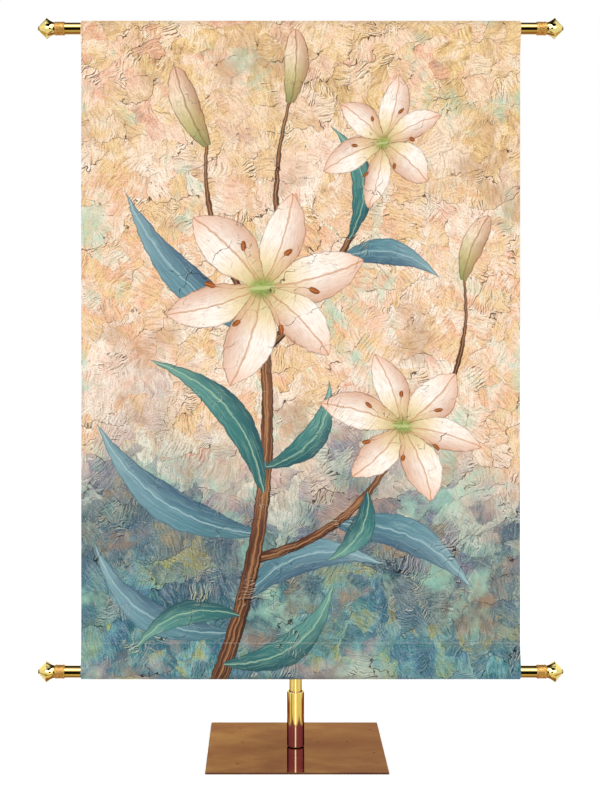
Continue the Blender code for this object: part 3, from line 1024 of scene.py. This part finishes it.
def dab_marks(tree, straight, place, coat):
    """What a coat has here: a dab's own colour number, its furrows, its cover and its thickness."""
    cell = add_node(
        tree,
        "ShaderNodeTexVoronoi",
        {"Vector": place, "Scale": 1.0 / coat.size, "Randomness": 1.0},
        voronoi_dimensions="2D",
    ).outputs
    own = add_node(tree, "ShaderNodeSeparateColor", {"Color": cell["Color"]}).outputs
    inside = {0: place, 1: cell["Position"]}
    inside = add_node(tree, "ShaderNodeVectorMath", inside, operation="SUBTRACT")
    turn = add_node(
        tree,
        "ShaderNodeMath",
        {0: own["Red"], 1: math.radians(coat.varies_deg), 2: math.radians(coat.turn_deg)},
        operation="MULTIPLY_ADD",
    )
    turned_in = {"Vector": inside, "Angle": turn}
    lie = add_node(tree, "ShaderNodeVectorRotate", turned_in, rotation_type="Z_AXIS")
    # The furrows bend less than the dabs' edges do
    eased = {"Factor": 0.4, "A": straight, "B": place}
    eased = add_node(tree, "ShaderNodeMix", eased, data_type="VECTOR").outputs["Result"]
    turned_in = {"Vector": eased, "Angle": turn}
    run = add_node(tree, "ShaderNodeVectorRotate", turned_in, rotation_type="Z_AXIS")
    combed = add_node(
        tree,
        "ShaderNodeVectorMath",
        {0: run, 1: (1.0 / FURROW_LENGTH, 1.0 / FURROW_PITCH, 0.0), 2: cell["Color"]},
        operation="MULTIPLY_ADD",
    )
    furrows = add_node(
        tree,
        "ShaderNodeTexNoise",
        {"Vector": combed, "Scale": 1.0, "Detail": 2.0, "Roughness": 0.65},
        noise_dimensions="2D",
    ).outputs["Fac"]
    full = {0: furrows, 1: 0.8, 2: own["Green"]}
    full = add_node(tree, "ShaderNodeMath", full, operation="MULTIPLY_ADD")
    # The furrows' part adds half of its share on average
    bare = coat.bare + 0.4
    cover = add_node(
        tree,
        "ShaderNodeMapRange",
        {"Value": full, "From Min": bare - 0.05, "From Max": bare + 0.05},
        interpolation_type="SMOOTHSTEP",
    ).outputs["Result"]
    along = add_node(tree, "ShaderNodeSeparateXYZ", {"Vector": lie}).outputs["X"]
    heaped = {0: along, 1: 1.3 * coat.raised / coat.size, 2: 0.4 * coat.raised}
    heaped = add_node(tree, "ShaderNodeMath", heaped, operation="MULTIPLY_ADD")
    thick = {0: furrows, 1: 1.05 * coat.raised, 2: heaped}
    thick = add_node(tree, "ShaderNodeMath", thick, operation="MULTIPLY_ADD")
    return own["Blue"], furrows, cover, thick


def paint_thickness(tree, marks):
    """How thick the paint stands after every coat."""
    height = 0.0
    for number, furrows, cover, thick in marks:
        mixed = add_node(tree, "ShaderNodeMix", {"Factor": cover, "A": height, "B": thick})
        height = mixed.outputs["Result"]
    return height


def light_on_paint(tree, straights, places, marks):
    """Light over the paint: its thickness, less its thickness a step nearer the light."""
    nearer = []
    for coat, straight, place in zip(COATS, straights, places):
        both = [shifted(tree, spot, *LIGHT_STEP) for spot in (straight, place)]
        nearer.append(dab_marks(tree, *both, coat))
    here = paint_thickness(tree, marks)
    there = paint_thickness(tree, nearer)
    return add_node(tree, "ShaderNodeMath", {0: here, 1: there}, operation="SUBTRACT")


WARM = ["#BE9278", "#EAAA88", "#F6CCAA", "#FAE6CA", "#F2D094", "#D6B078", "#F6DAB6", "#ECBCA0", "#CCA896"]
PALE = ["#EEB092", "#FADAC4", "#FEF2E0", "#F8DCC0", "#F0CC94", "#F2BE98", "#FCE8D2", "#D8DCC0", "#F2BEA2"]
MISTY = ["#C6967A", "#E2CDB8", "#CFC2B8", "#B8A8B2", "#989CB6", "#A2CABC", "#CCDACC", "#88B2B0", "#B69480"]
COOL = ["#8E745A", "#8A806A", "#6E7C80", "#486072", "#34586A", "#4C7074", "#80908A", "#6A6660", "#866A4E"]
DEEP = ["#98A468", "#7CA28A", "#5C9AA4", "#487890", "#2C687E", "#3C8088", "#6EA8AE", "#A2AE76", "#44929A"]
# Above DEEP, each palette takes over at this share of the cloth's height, over this width
BANDS = ((COOL, 0.04, 0.10), (MISTY, 0.17, 0.11), (PALE, 0.22, 0.17), (WARM, 0.68, 0.18))


def ground_colours(tree, tone, number, height):
    """A colour from the palette of its height on the cloth, by a slow drift and a dab's own number."""
    pick = {0: number, 1: 0.34, 2: tone}
    pick = add_node(tree, "ShaderNodeMath", pick, operation="MULTIPLY_ADD")
    spread = {"Value": pick, "From Min": 0.34, "From Max": 1.0}
    pick = add_node(tree, "ShaderNodeMapRange", spread).outputs["Result"]
    uneven = {0: number, 1: 0.10, 2: height}
    uneven = add_node(tree, "ShaderNodeMath", uneven, operation="MULTIPLY_ADD")
    colour = fill_ramp(add_node(tree, "ShaderNodeValToRGB", {"Fac": pick}), DEEP)
    # Heights are shares of the cloth from its bottom edge, plus up to 0.10 of a dab's own
    for palette, start, width in BANDS:
        chosen = fill_ramp(add_node(tree, "ShaderNodeValToRGB", {"Fac": pick}), palette)
        colour = laid_over(tree, colour, chosen, uneven, start, start + width)
    return colour


BOUGH_SHADES = ["#553222", "#6B402B", "#7E5038", "#8E6044"]
PETAL_SHADES = ["#B9B168", "#F0DDB2", "#FFF8EE", "#FFF2E4", "#F4C9B0"]
BLUE_LEAF_SHADES = ["#466F78", "#5B8791", "#7599A2", "#8FAEB0"]
GREEN_LEAF_SHADES = ["#2C5E62", "#3C7774", "#5A9088", "#7BA898"]
BUD_SHADES = ["#84905A", "#CBBF86", "#F4E0C2", "#F0C2A6"]
THROAT_SHADES = ["#A3B062", "#8FA04E", "#A3B062"]
STAMEN_SHADES = ["#D3D596", "#CFCB84", "#B4642C", "#96491E"]
PETAL_LOOK = Look("petal", PETAL_SHADES, "#CE9470", "#C48A5E", 0.06, "#7A482C", 0.35, 1.3)
LOOKS = {
    "back_leaves": Look("leaf", BLUE_LEAF_SHADES, "#38506A", "#A9C4C6", 0.06, "#3C5766", 0.24, 1.3),
    "branches": Look("bough", BOUGH_SHADES, "#2F1A13", "#B98659", 0.16, "#2E1A14", 0.7, 1.3),
    "main_stem": Look("bough", BOUGH_SHADES, "#2F1A13", "#B98659", 0.12, "#2E1A14", 0.7, 1.3),
    "front_leaves": Look("leaf", GREEN_LEAF_SHADES, "#1E4250", "#A8C6A6", 0.07, "#21434A", 0.24, 1.3),
    "buds": Look("bud", BUD_SHADES, "#A9734F", "#94643F", 0.08, "#6A402A", 0.35, 1.3),
    "petals_a": PETAL_LOOK,
    "petals_b": PETAL_LOOK,
    "petals_c": PETAL_LOOK,
    "throats": Look("throat", THROAT_SHADES, "#6E7E3C", "#C9CE8E", 0.2, "#A3B062", 0.3, 16.0),
    "stamens": Look("stamen", STAMEN_SHADES, "#74380F", "#E2A055", 0.12, "#6A3419", 0.2, 1.3),
}


def paint_shapes(tree, below, layer, look, wobble):
    """Paints one layer of shapes over what is below, with their shading, rib, streaks and contour."""
    data = add_node(tree, "ShaderNodeAttribute", attribute_name=layer)
    parts = add_node(tree, "ShaderNodeSeparateColor", {"Color": data.outputs["Color"]}).outputs
    side, share, half_width, depth = parts["Red"], parts["Green"], parts["Blue"], data.outputs["Alpha"]
    side = add_node(tree, "ShaderNodeMath", {0: side, 1: wobble}, operation="ADD")
    away = add_node(tree, "ShaderNodeMath", {0: side}, operation="ABSOLUTE")
    curve = add_node(tree, "ShaderNodeFloatCurve", {"Value": share})
    points = curve.mapping.curves[0].points
    outline = OUTLINES[look.outline]
    while len(points) < len(outline):
        points.new(0.5, 0.5)
    for point, spot in zip(points, outline):
        point.location = (spot[0], spot[1] / WIDEST)
    curve.mapping.update()
    scaled = {0: curve.outputs["Value"], 1: half_width}
    reach = add_node(tree, "ShaderNodeMath", scaled, operation="MULTIPLY")
    reach = add_node(tree, "ShaderNodeMath", {0: reach, 1: WIDEST}, operation="MULTIPLY")
    room = add_node(tree, "ShaderNodeMath", {0: reach, 1: away}, operation="SUBTRACT")
    cover = add_node(tree, "ShaderNodeMapRange", {"Value": room, "From Max": look.soft})
    # Nothing is painted more than 5.5 mm outside an outline
    sure = add_node(tree, "ShaderNodeMath", {0: depth, 1: -5.5}, operation="GREATER_THAN")
    started = window(tree, share, 0.0, 1.0, 0.002)
    masks = {0: cover, 1: sure}
    mask = add_node(tree, "ShaderNodeMath", masks, operation="MULTIPLY")
    mask = add_node(tree, "ShaderNodeMath", {0: mask, 1: started}, operation="MULTIPLY")

    ramp = add_node(tree, "ShaderNodeValToRGB", {"Fac": share})
    colour = fill_ramp(ramp, look.along)
    signed = add_node(tree, "ShaderNodeMath", {0: side, 1: half_width}, operation="DIVIDE")
    colour = laid_over(tree, colour, linear(look.shade), signed, 0.1, -0.95, 0.8)
    # Streaks run along the shape, about 4 mm apart
    spread = add_node(tree, "ShaderNodeMath", {0: share, 1: 6.0}, operation="MULTIPLY")
    fine = add_node(tree, "ShaderNodeMath", {0: side, 1: 0.26}, operation="MULTIPLY")
    fine = add_node(tree, "ShaderNodeMath", {0: half_width, 1: 7.0, 2: fine}, operation="MULTIPLY_ADD")
    lane = add_node(tree, "ShaderNodeCombineXYZ", {"X": spread, "Y": fine})
    streak = add_node(
        tree, "ShaderNodeTexNoise", {"Vector": lane, "Scale": 1.0, "Detail": 2.0}, noise_dimensions="2D"
    ).outputs["Fac"]
    colour = laid_over(tree, colour, linear(look.rib), streak, 0.50, 0.74, look.streaks)
    colour = laid_over(tree, colour, linear(look.shade), streak, 0.50, 0.28, look.streaks)
    near = add_node(tree, "ShaderNodeMath", {0: away, 1: half_width}, operation="DIVIDE")
    colour = laid_over(tree, colour, linear(look.rib), near, look.rib_width, look.rib_width * 0.3, 0.7)
    line = add_node(
        tree, "ShaderNodeMapRange", {"Value": room, "From Min": 3.8, "From Max": 1.0, "To Max": 0.85}
    )
    thinned = add_node(
        tree, "ShaderNodeMapRange", {"Value": streak, "From Min": 0.36, "From Max": 0.52, "To Min": 0.25}
    )
    weight = {0: line, 1: thinned}
    contour = add_node(tree, "ShaderNodeMath", weight, operation="MULTIPLY")
    colour = laid_over(tree, colour, linear(look.contour), contour)
    return laid_over(tree, below, colour, mask), mask


def printed_face():
    """Polyester canvas, dye-printed: matt, flat colours of a brushed flower painting over a fine weave."""
    material, tree = blank_material("dye_printed_polyester_canvas")
    place = add_node(tree, "ShaderNodeAttribute", attribute_name="print_place").outputs["Vector"]
    spot = add_node(tree, "ShaderNodeSeparateXYZ", {"Vector": place}).outputs
    slow = add_node(
        tree,
        "ShaderNodeTexNoise",
        {"Vector": place, "Scale": 2.6, "Detail": 3.0, "Roughness": 0.55},
        noise_dimensions="2D",
    )
    share = add_node(
        tree,
        "ShaderNodeMapRange",
        {"Value": spot["Y"], "From Min": CLOTH_LOW.z, "From Max": CLOTH_HIGH.z},
        clamp=False,
    )
    height = share
    for value, gain in ((spot["X"], 0.10), (slow, 0.30)):
        height = {0: value, 1: gain, 2: height}
        height = add_node(tree, "ShaderNodeMath", height, operation="MULTIPLY_ADD")
    height = add_node(tree, "ShaderNodeMath", {0: height, 1: -0.23}, operation="ADD")

    straights = [shifted(tree, place, 3.1 + 4.6 * i, 1.1 + 1.7 * i) for i in range(len(COATS))]
    places = [ragged_place(tree, straight, coat) for straight, coat in zip(straights, COATS)]
    marks = [dab_marks(tree, *one) for one in zip(straights, places, COATS)]
    tones = add_node(
        tree,
        "ShaderNodeTexNoise",
        {"Vector": place, "Scale": 6.5, "Detail": 4.0, "Roughness": 0.62},
        noise_dimensions="2D",
    ).outputs["Color"]
    tones = add_node(tree, "ShaderNodeSeparateColor", {"Color": tones}).outputs
    colour = None
    for i, (number, furrows, cover, thick) in enumerate(marks):
        coat = ground_colours(tree, tones[i % 3], number, height)
        coat = laid_over(tree, coat, linear("#9C8C74"), furrows, 0.50, 0.78, 0.50, "SCREEN")
        coat = laid_over(tree, coat, linear("#A48870"), furrows, 0.52, 0.22, 0.75, "MULTIPLY")
        colour = coat if colour is None else laid_over(tree, colour, coat, cover, most=0.75)

    # Grain of the paint, 3 mm across
    grain = add_node(
        tree,
        "ShaderNodeTexNoise",
        {"Vector": place, "Scale": 320.0, "Detail": 1.0},
        noise_dimensions="2D",
    ).outputs["Fac"]
    colour = laid_over(tree, colour, linear("#B8946C"), grain, 0.52, 0.80, 0.55, "MULTIPLY")
    colour = laid_over(tree, colour, linear("#7C7464"), grain, 0.48, 0.20, 0.45, "SCREEN")

    # Glazes: mint, brown and rose washes in loose patches
    washes = (("#9FD0B8", 5.0, 4.0, 0.55), ("#B0845E", 4.2, 9.0, 0.46), ("#F0BCA4", 4.6, 15.0, 0.26))
    for hex_colour, scale, offset, most in washes:
        moved = add_node(tree, "ShaderNodeMapping", {"Vector": place, "Location": (offset, offset, 0.0)})
        wash = add_node(
            tree,
            "ShaderNodeTexNoise",
            {"Vector": moved, "Scale": scale, "Detail": 4.0, "Roughness": 0.7},
            noise_dimensions="2D",
        )
        colour = laid_over(tree, colour, linear(hex_colour), wash, 0.57, 0.68, most)

    waver = add_node(
        tree, "ShaderNodeTexNoise", {"Vector": place, "Scale": 45.0, "Detail": 2.0}, noise_dimensions="2D"
    )
    wobble = add_node(
        tree, "ShaderNodeMapRange", {"Value": waver, "To Min": -3.5, "To Max": 3.5}
    ).outputs["Result"]
    painted = 0.0
    for layer in PAINTED:
        colour, mask = paint_shapes(tree, colour, layer, LOOKS[layer], wobble)
        both = {0: painted, 1: mask}
        painted = add_node(tree, "ShaderNodeMath", both, operation="MAXIMUM")

    slope = light_on_paint(tree, straights, places, marks)
    busy = add_node(
        tree, "ShaderNodeTexNoise", {"Vector": place, "Scale": 11.0, "Detail": 2.0}, noise_dimensions="2D"
    )
    strength = add_node(
        tree,
        "ShaderNodeMapRange",
        {"Value": busy, "From Min": 0.46, "From Max": 0.66, "To Min": 0.28, "To Max": 1.6},
    )
    calmer = add_node(tree, "ShaderNodeMapRange", {"Value": painted, "To Min": 1.0, "To Max": 0.45})
    gain = {0: strength, 1: calmer}
    gain = add_node(tree, "ShaderNodeMath", gain, operation="MULTIPLY")
    lit = add_node(tree, "ShaderNodeMath", {0: slope, 1: gain}, operation="MULTIPLY")
    colour = laid_over(tree, colour, linear("#B4A894"), lit, 0.04, 0.60, 0.80, "SCREEN")
    colour = laid_over(tree, colour, linear("#5A4434"), lit, -0.04, -0.60, 0.9, "MULTIPLY")

    return close_material(material, weave_shader(tree, place, colour))


def weave_shader(tree, place, colour):
    """Matt cloth with crossing threads, drawn 0.6 mm apart where real ones are about 0.3 mm apart."""
    spacing = 0.6 * MM
    parts = add_node(tree, "ShaderNodeSeparateXYZ", {"Vector": place}).outputs
    waves = []
    for axis in ("X", "Y"):
        turns = {0: parts[axis], 1: math.tau / spacing}
        turns = add_node(tree, "ShaderNodeMath", turns, operation="MULTIPLY")
        waves.append(add_node(tree, "ShaderNodeMath", {0: turns}, operation="SINE"))
    weave = add_node(tree, "ShaderNodeMath", {0: waves[0], 1: waves[1]}, operation="MULTIPLY")
    bump = add_node(tree, "ShaderNodeBump", {"Height": weave, "Strength": 0.12, "Distance": 0.05 * MM})
    return add_node(
        tree,
        "ShaderNodeBsdfPrincipled",
        {
            "Base Color": colour,
            "Roughness": 0.88,
            "Specular IOR Level": 0.25,
            "Sheen Weight": 0.04,
            "Normal": bump,
        },
    )


def unprinted_back():
    """The canvas's bare side: off-white, with the dye showing through faintly in patches."""
    material, tree = blank_material("bare_polyester_canvas")
    place = add_node(tree, "ShaderNodeAttribute", attribute_name="print_place").outputs["Vector"]
    spot = add_node(tree, "ShaderNodeSeparateXYZ", {"Vector": place}).outputs
    share = add_node(
        tree,
        "ShaderNodeMapRange",
        {"Value": spot["Y"], "From Min": CLOTH_LOW.z, "From Max": CLOTH_HIGH.z},
    )
    ramp = add_node(tree, "ShaderNodeValToRGB", {"Fac": share})
    ghost = fill_ramp(ramp, ["#CFD9DA", "#D5DBDC", "#E6E1DC", "#F0E6DB", "#F0E4D6", "#EDE1D2"])
    cloud = add_node(tree, "ShaderNodeTexNoise", {"Vector": place, "Scale": 14.0, "Detail": 5.0})
    colour = laid_over(tree, ghost, linear("#F4EFE8"), cloud, 0.35, 0.65, 0.5)
    return close_material(material, weave_shader(tree, place, colour))


def cut_edge():
    """The heat-cut edge of the canvas: melted, slightly darker fibres."""
    material, tree = blank_material("heat_cut_canvas_edge")
    place = add_node(tree, "ShaderNodeAttribute", attribute_name="print_place").outputs["Vector"]
    spots = add_node(tree, "ShaderNodeTexNoise", {"Vector": place, "Scale": 600.0, "Detail": 2.0})
    ramp = add_node(tree, "ShaderNodeValToRGB", {"Fac": spots})
    colour = fill_ramp(ramp, [(0.35, "#C9BBA8"), (0.65, "#E6DCCB")])
    return close_material(material, weave_shader(tree, place, colour))


def add_cloth(stitches):
    """The printed strip, given its thickness, with the print outside and the bare side in."""
    mesh = cloth_sheet()
    for material in (printed_face(), unprinted_back(), cut_edge()):
        mesh.materials.append(material)
    sheet = placed("banner_cloth_sheet", mesh)
    wall = sheet.modifiers.new("Thickness", "SOLIDIFY")
    wall.thickness = CLOTH_THICK
    wall.offset = 0.0
    wall.material_offset = 1
    wall.material_offset_rim = 2
    graph = bpy.context.evaluated_depsgraph_get()
    thick = bpy.data.meshes.new_from_object(
        sheet.evaluated_get(graph), preserve_all_data_layers=True, depsgraph=graph
    )
    bpy.data.objects.remove(sheet)
    thick.shade_smooth()
    thick.set_sharp_from_angle(angle=math.radians(CLOTH_SHARP_DEG))
    cloth = add_piece("banner_cloth_printed", thick, "printed_cloth", "banner_cloth")
    strip_length()


# Stitches, by Geometry Nodes


def stitching_tree():
    """A tree that lays a stitch at each step of a seam line and gives the row its thread."""
    inputs = {"Seam": "Geometry", "Pitch": "Float", "Stitch length": "Float"}
    inputs.update({"Thread radius": "Float", "Thread": "Material"})
    tree, given = open_tree("seam_stitches", inputs, "Stitches")
    line = add_node(tree, "GeometryNodeMeshToCurve", {"Mesh": given["Seam"]})
    points = add_node(
        tree,
        "GeometryNodeCurveToPoints",
        {"Curve": line.outputs["Curve"], "Length": given["Pitch"]},
        mode="LENGTH",
    )
    ball = add_node(tree, "GeometryNodeMeshUVSphere", {"Segments": 6, "Rings": 5, "Radius": 1.0})
    half = add_node(tree, "ShaderNodeMath", {0: given["Stitch length"], 1: 0.5}, operation="MULTIPLY")
    seed = add_node(
        tree, "FunctionNodeRandomValue", {"Min": -0.06, "Max": 0.06, "Seed": 11}, data_type="FLOAT"
    )
    slant = add_node(tree, "ShaderNodeCombineXYZ", {"Y": seed.outputs[1], "Z": 0.0})
    scale = add_node(
        tree,
        "ShaderNodeCombineXYZ",
        {"X": half, "Y": given["Thread radius"], "Z": given["Thread radius"]},
    )
    rows = add_node(
        tree,
        "GeometryNodeInstanceOnPoints",
        {
            "Points": points.outputs["Points"],
            "Instance": ball.outputs["Mesh"],
            "Rotation": slant.outputs["Vector"],
            "Scale": scale.outputs["Vector"],
        },
    )
    return close_tree(tree, rows.outputs["Instances"], given["Thread"], "Stitches")


def sewing_thread():
    """Spun polyester thread in natural white: matt, with a fine twist."""
    material, tree = blank_material("spun_polyester_thread")
    place = add_node(tree, "ShaderNodeTexCoord").outputs["Object"]
    twist = add_node(
        tree,
        "ShaderNodeTexWave",
        {"Vector": place, "Scale": 1.0 / (1.2 * MM), "Distortion": 2.0},
        bands_direction="DIAGONAL",
    )
    ramp = add_node(tree, "ShaderNodeValToRGB", {"Fac": twist.outputs["Fac"]})
    colour = fill_ramp(ramp, ["#D9CDBB", "#F0E7DA"])
    shader = add_node(tree, "ShaderNodeBsdfPrincipled", {"Base Color": colour, "Roughness": 0.7})
    return close_material(material, shader)


def add_stitches():
    """A row of lockstitches along each sleeve's seam, on the front and on the back."""
    tree = stitching_tree()
    values = {
        "Pitch": STITCH_PITCH,
        "Stitch length": STITCH_LENGTH,
        "Thread radius": THREAD_RADIUS,
        "Thread": sewing_thread(),
    }
    seam_up = CREASE_REACH - SLEEVE_DEPTH - SEAM_TAIL / 2
    front_y = BANNER_Y - CLOTH_THICK / 2
    back_y = BANNER_Y + CLOTH_THICK * 1.5 + LAYERS_APART
    half_notch = NOTCH_WIDTH / 2 + STITCH_MARGIN
    notch = (STAND_X - half_notch, STAND_X + half_notch)
    edges = (CLOTH_LOW.x + STITCH_MARGIN, CLOTH_HIGH.x - STITCH_MARGIN)
    pieces = []
    seams = (("top", TOP_ROD_Z + seam_up, True), ("bottom", BOTTOM_ROD_Z - seam_up, False))
    for label, height, split in seams:
        runs = [(edges[0], notch[0]), (notch[1], edges[1])] if split else [edges]
        for face, y in (("front", front_y), ("back", back_y)):
            points = []
            lines = []
            for start, end in runs:
                lines.append((len(points), len(points) + 1))
                points += [(start, y, height), (end, y, height)]
            seam = bpy.data.meshes.new("seam_line")
            seam.from_pydata(points, lines, [])
            name = f"{label}_{face}_stitches"
            mesh = grown(name, seam, tree, values)
            pieces.append(add_piece(name, mesh, "printed_cloth"))
    return pieces


# Room and light

# Panels that polished metal reflects: azimuth from the front, elevation, softness and light
Panel = namedtuple("Panel", "az_from az_to el_from el_to feather colour level")
# Alike on both sides, so that the azimuth counts from the front either way
REFLECTED = (
    Panel(-1, 181, 18, 91, 10, "#F4F1EC", 0.70),
    Panel(24, 181, -40, 45, 12, "#F2FBFA", 1.08),
    Panel(84, 181, 7, 17, 5, "#FFF6D8", 1.3),
    Panel(84, 181, -24, -13, 5, "#D8BE78", 0.85),
    Panel(128, 181, 27, 91, 12, "#4A3822", 0.50),
    Panel(-1, 24, -91, -36, 3, "#FFEBA4", 0.62),
    Panel(24, 181, -91, -40, 8, "#B58A62", 0.70),
    Panel(-1, 62, 22, 35, 4, "#F6F2EC", 0.80),
    Panel(-1, 62, 35, 57, 4, "#FFFFFF", 3.6),
    Panel(-1, 62, 57, 82, 5, "#FFFFFF", 0.95),
    Panel(80, 181, 48, 91, 10, "#3A2A1E", 0.60),
    Panel(-1, 26, -36, 12, 3, "#0E0B0A", 0.25),
    Panel(26, 78, 0, 62, 5, "#DDECFF", 5.0),
    Panel(20, 44, 18, 32, 3, "#15100C", 0.50),
    Panel(44, 60, -10, 10, 3, "#15100C", 0.50),
    Panel(28, 46, -20, -6, 4, "#B4782E", 0.80),
    Panel(60, 84, 16, 91, 3, "#15100C", 0.50),
)
# Seen only by way of the plate, as the socket's lower half sees the room
REFLECTED_AGAIN = (
    Panel(-1, 181, 3, 28, 4, "#20251C", 0.40),
    Panel(-1, 112, 3, 28, 24, "#AE7CFF", 2.0),
)
# The same, with the azimuth positive to the right of the front
STRIPE_AGAIN = (Panel(-10, 6, 3, 28, 5, "#80AAFF", 20.0),)


def panel_colour(panel):
    """A panel's colour at its level of light."""
    return [part * panel.level for part in linear(panel.colour)[:3]] + [1.0]


def bearing(tree, side, back):
    """How far ahead a place or direction is, and its angle from the front, positive to the right."""
    ahead = add_node(tree, "ShaderNodeMath", {0: back, 1: -1.0}, operation="MULTIPLY")
    turn = add_node(tree, "ShaderNodeMath", {0: side, 1: ahead}, operation="ARCTAN2")
    return ahead, add_node(tree, "ShaderNodeMath", {0: turn}, operation="DEGREES")


def panel_light(tree, base, azimuth, elevation, panels):
    """The light from one direction, painted panel over panel."""
    colour = base
    for panel in panels:
        across = window(tree, azimuth, panel.az_from, panel.az_to, panel.feather)
        up = window(tree, elevation, panel.el_from, panel.el_to, panel.feather)
        both = add_node(tree, "ShaderNodeMath", {0: across, 1: up}, operation="MULTIPLY")
        colour = laid_over(tree, colour, panel_colour(panel), both)
    return colour


def add_room():
    """A white studio: pure white behind, soft light on matt faces, and softboxes and flags in the brass."""
    world = bpy.data.worlds.new("white_studio")
    world.use_nodes = True
    tree = world.node_tree
    tree.nodes.clear()
    look = add_node(tree, "ShaderNodeTexCoord").outputs["Generated"]
    parts = add_node(tree, "ShaderNodeSeparateXYZ", {"Vector": look}).outputs
    rise = add_node(tree, "ShaderNodeMath", {0: parts["Z"]}, operation="ARCSINE")
    elevation = add_node(tree, "ShaderNodeMath", {0: rise}, operation="DEGREES")
    ahead, signed = bearing(tree, parts["X"], parts["Y"])
    either = add_node(tree, "ShaderNodeMath", {0: signed}, operation="ABSOLUTE")
    mirrored = panel_light(tree, linear("#A99C88"), either, elevation, REFLECTED)
    again = panel_light(tree, mirrored, either, elevation, REFLECTED_AGAIN)
    again = panel_light(tree, again, signed, elevation, STRIPE_AGAIN)
    # Matt faces get slightly more light from the front and from above
    soft = 0.86
    for direction, gain in ((ahead, 0.20), (parts["Z"], 0.10)):
        soft = {0: direction, 1: gain, 2: soft}
        soft = add_node(tree, "ShaderNodeMath", soft, operation="MULTIPLY_ADD")
    soft_colour = add_node(tree, "ShaderNodeCombineColor", {0: soft, 1: soft, 2: soft})
    path = add_node(tree, "ShaderNodeLightPath").outputs
    bounces = {0: path["Is Glossy Ray"], 1: path["Glossy Depth"]}
    bounces = add_node(tree, "ShaderNodeMath", bounces, operation="MULTIPLY")
    mirrored = laid_over(tree, mirrored, again, bounces, 1.4, 1.6)
    seen = add_node(tree, "ShaderNodeBackground", {"Color": soft_colour})
    for colour, kind in ((mirrored, "Is Glossy Ray"), ((1.0, 1.0, 1.0, 1.0), "Is Camera Ray")):
        room = add_node(tree, "ShaderNodeBackground", {"Color": colour})
        seen = add_node(tree, "ShaderNodeMixShader", {0: path[kind], 1: seen, 2: room})
    add_node(tree, "ShaderNodeOutputWorld", {"Surface": seen})
    bpy.context.scene.world = world
    bpy.context.scene.view_settings.view_transform = "Standard"


def flat_quad(name, low, high, height):
    mesh = bpy.data.meshes.new(name)
    corners = [(low[0], low[1]), (high[0], low[1]), (high[0], high[1]), (low[0], high[1])]
    mesh.from_pydata([(x, y, height) for x, y in corners], [], [(0, 1, 2, 3)])
    obj = placed(name, mesh)
    return obj


def add_floor():
    """A pale floor that fades into the white, with only a soft shadow under the plate."""
    floor = flat_quad("studio_floor", (-30.0, -30.0), (30.0, 30.0), -0.0002)
    material, tree = blank_material("white_paper_sweep")
    paper = add_node(tree, "ShaderNodeBsdfDiffuse", {"Color": (0.85, 0.85, 0.85, 1.0)})
    glow = add_node(tree, "ShaderNodeEmission", {"Color": (1.0, 1.0, 1.0, 1.0), "Strength": 0.42})
    both = add_node(tree, "ShaderNodeAddShader", {0: paper, 1: glow})
    floor.data.materials.append(close_material(material, both))
    floor.visible_glossy = False


# What the upright tubes reflect of the floor in front: azimuth about the post, softness and light
FLOOR_STRIPES = (
    Panel(-84, 84, 0, 0, 14, "#FFF8C1", 0.86),
    Panel(-62, -50, 0, 0, 4, "#B08A5C", 0.70),
    Panel(-11, 6, 0, 0, 4, "#FFFFFF", 2.2),
)


def add_floor_card():
    """A card on the floor that only mirror-bright metal shows: pale ahead of the post, brown behind it."""
    card = flat_quad("floor_card", (-0.42, -0.80), (0.42, 0.60), 0.0005)
    material, tree = blank_material("floor_card_light")
    place = add_node(tree, "ShaderNodeTexCoord").outputs["Object"]
    parts = add_node(tree, "ShaderNodeSeparateXYZ", {"Vector": place}).outputs
    side = add_node(tree, "ShaderNodeMath", {0: parts["X"], 1: STAND_X}, operation="SUBTRACT")
    ahead, azimuth = bearing(tree, side, parts["Y"])
    colour = linear("#8A4C38")
    for stripe in FLOOR_STRIPES:
        across = window(tree, azimuth, stripe.az_from, stripe.az_to, stripe.feather)
        colour = laid_over(tree, colour, panel_colour(stripe), across)
    # Dull next to the plate, whose edge would shine otherwise
    near_x = window(tree, side, -DULL_REACH, DULL_REACH, 0.01)
    near_y = window(tree, ahead, -DULL_REACH, DULL_REACH, 0.01)
    near = add_node(tree, "ShaderNodeMath", {0: near_x, 1: near_y}, operation="MULTIPLY")
    colour = laid_over(tree, colour, linear("#B8A48C"), near)
    light = add_node(tree, "ShaderNodeEmission", {"Color": colour})
    card.data.materials.append(close_material(material, light))
    card.visible_camera = False
    card.visible_diffuse = False
    card.visible_shadow = False
    card.visible_transmission = False


def add_camera():
    data = bpy.data.cameras.new("photo_camera")
    camera = placed("photo_camera", data)
    camera.location = CAMERA_PLACE
    camera.rotation_euler.x = math.pi / 2
    data.lens = CAMERA_LENS
    data.shift_x, data.shift_y = CAMERA_SHIFT
    bpy.context.scene.camera = camera


def main():
    add_camera()
    add_room()
    add_floor()
    add_floor_card()
    brass = polished_brass()
    satin = satin_brass("satin_gold_cast_brass", "#C88A3E", "#F6CE78", 0.45, 0.5 * MM)
    toned = satin_brass("toned_button_brass", "#84683C", "#B8A068", 0.28, 0.1 * MM)
    tree = turning_tree()
    add_crossbars(tree, brass, satin, toned)
    add_uprights(tree, brass, painted_shade_brass())
    add_saddle(brass)
    add_cloth(add_stitches())
    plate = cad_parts["base_plate"]
    plate.data.materials.clear()
    plate.data.materials.append(bronzed_plate_brass())


main()
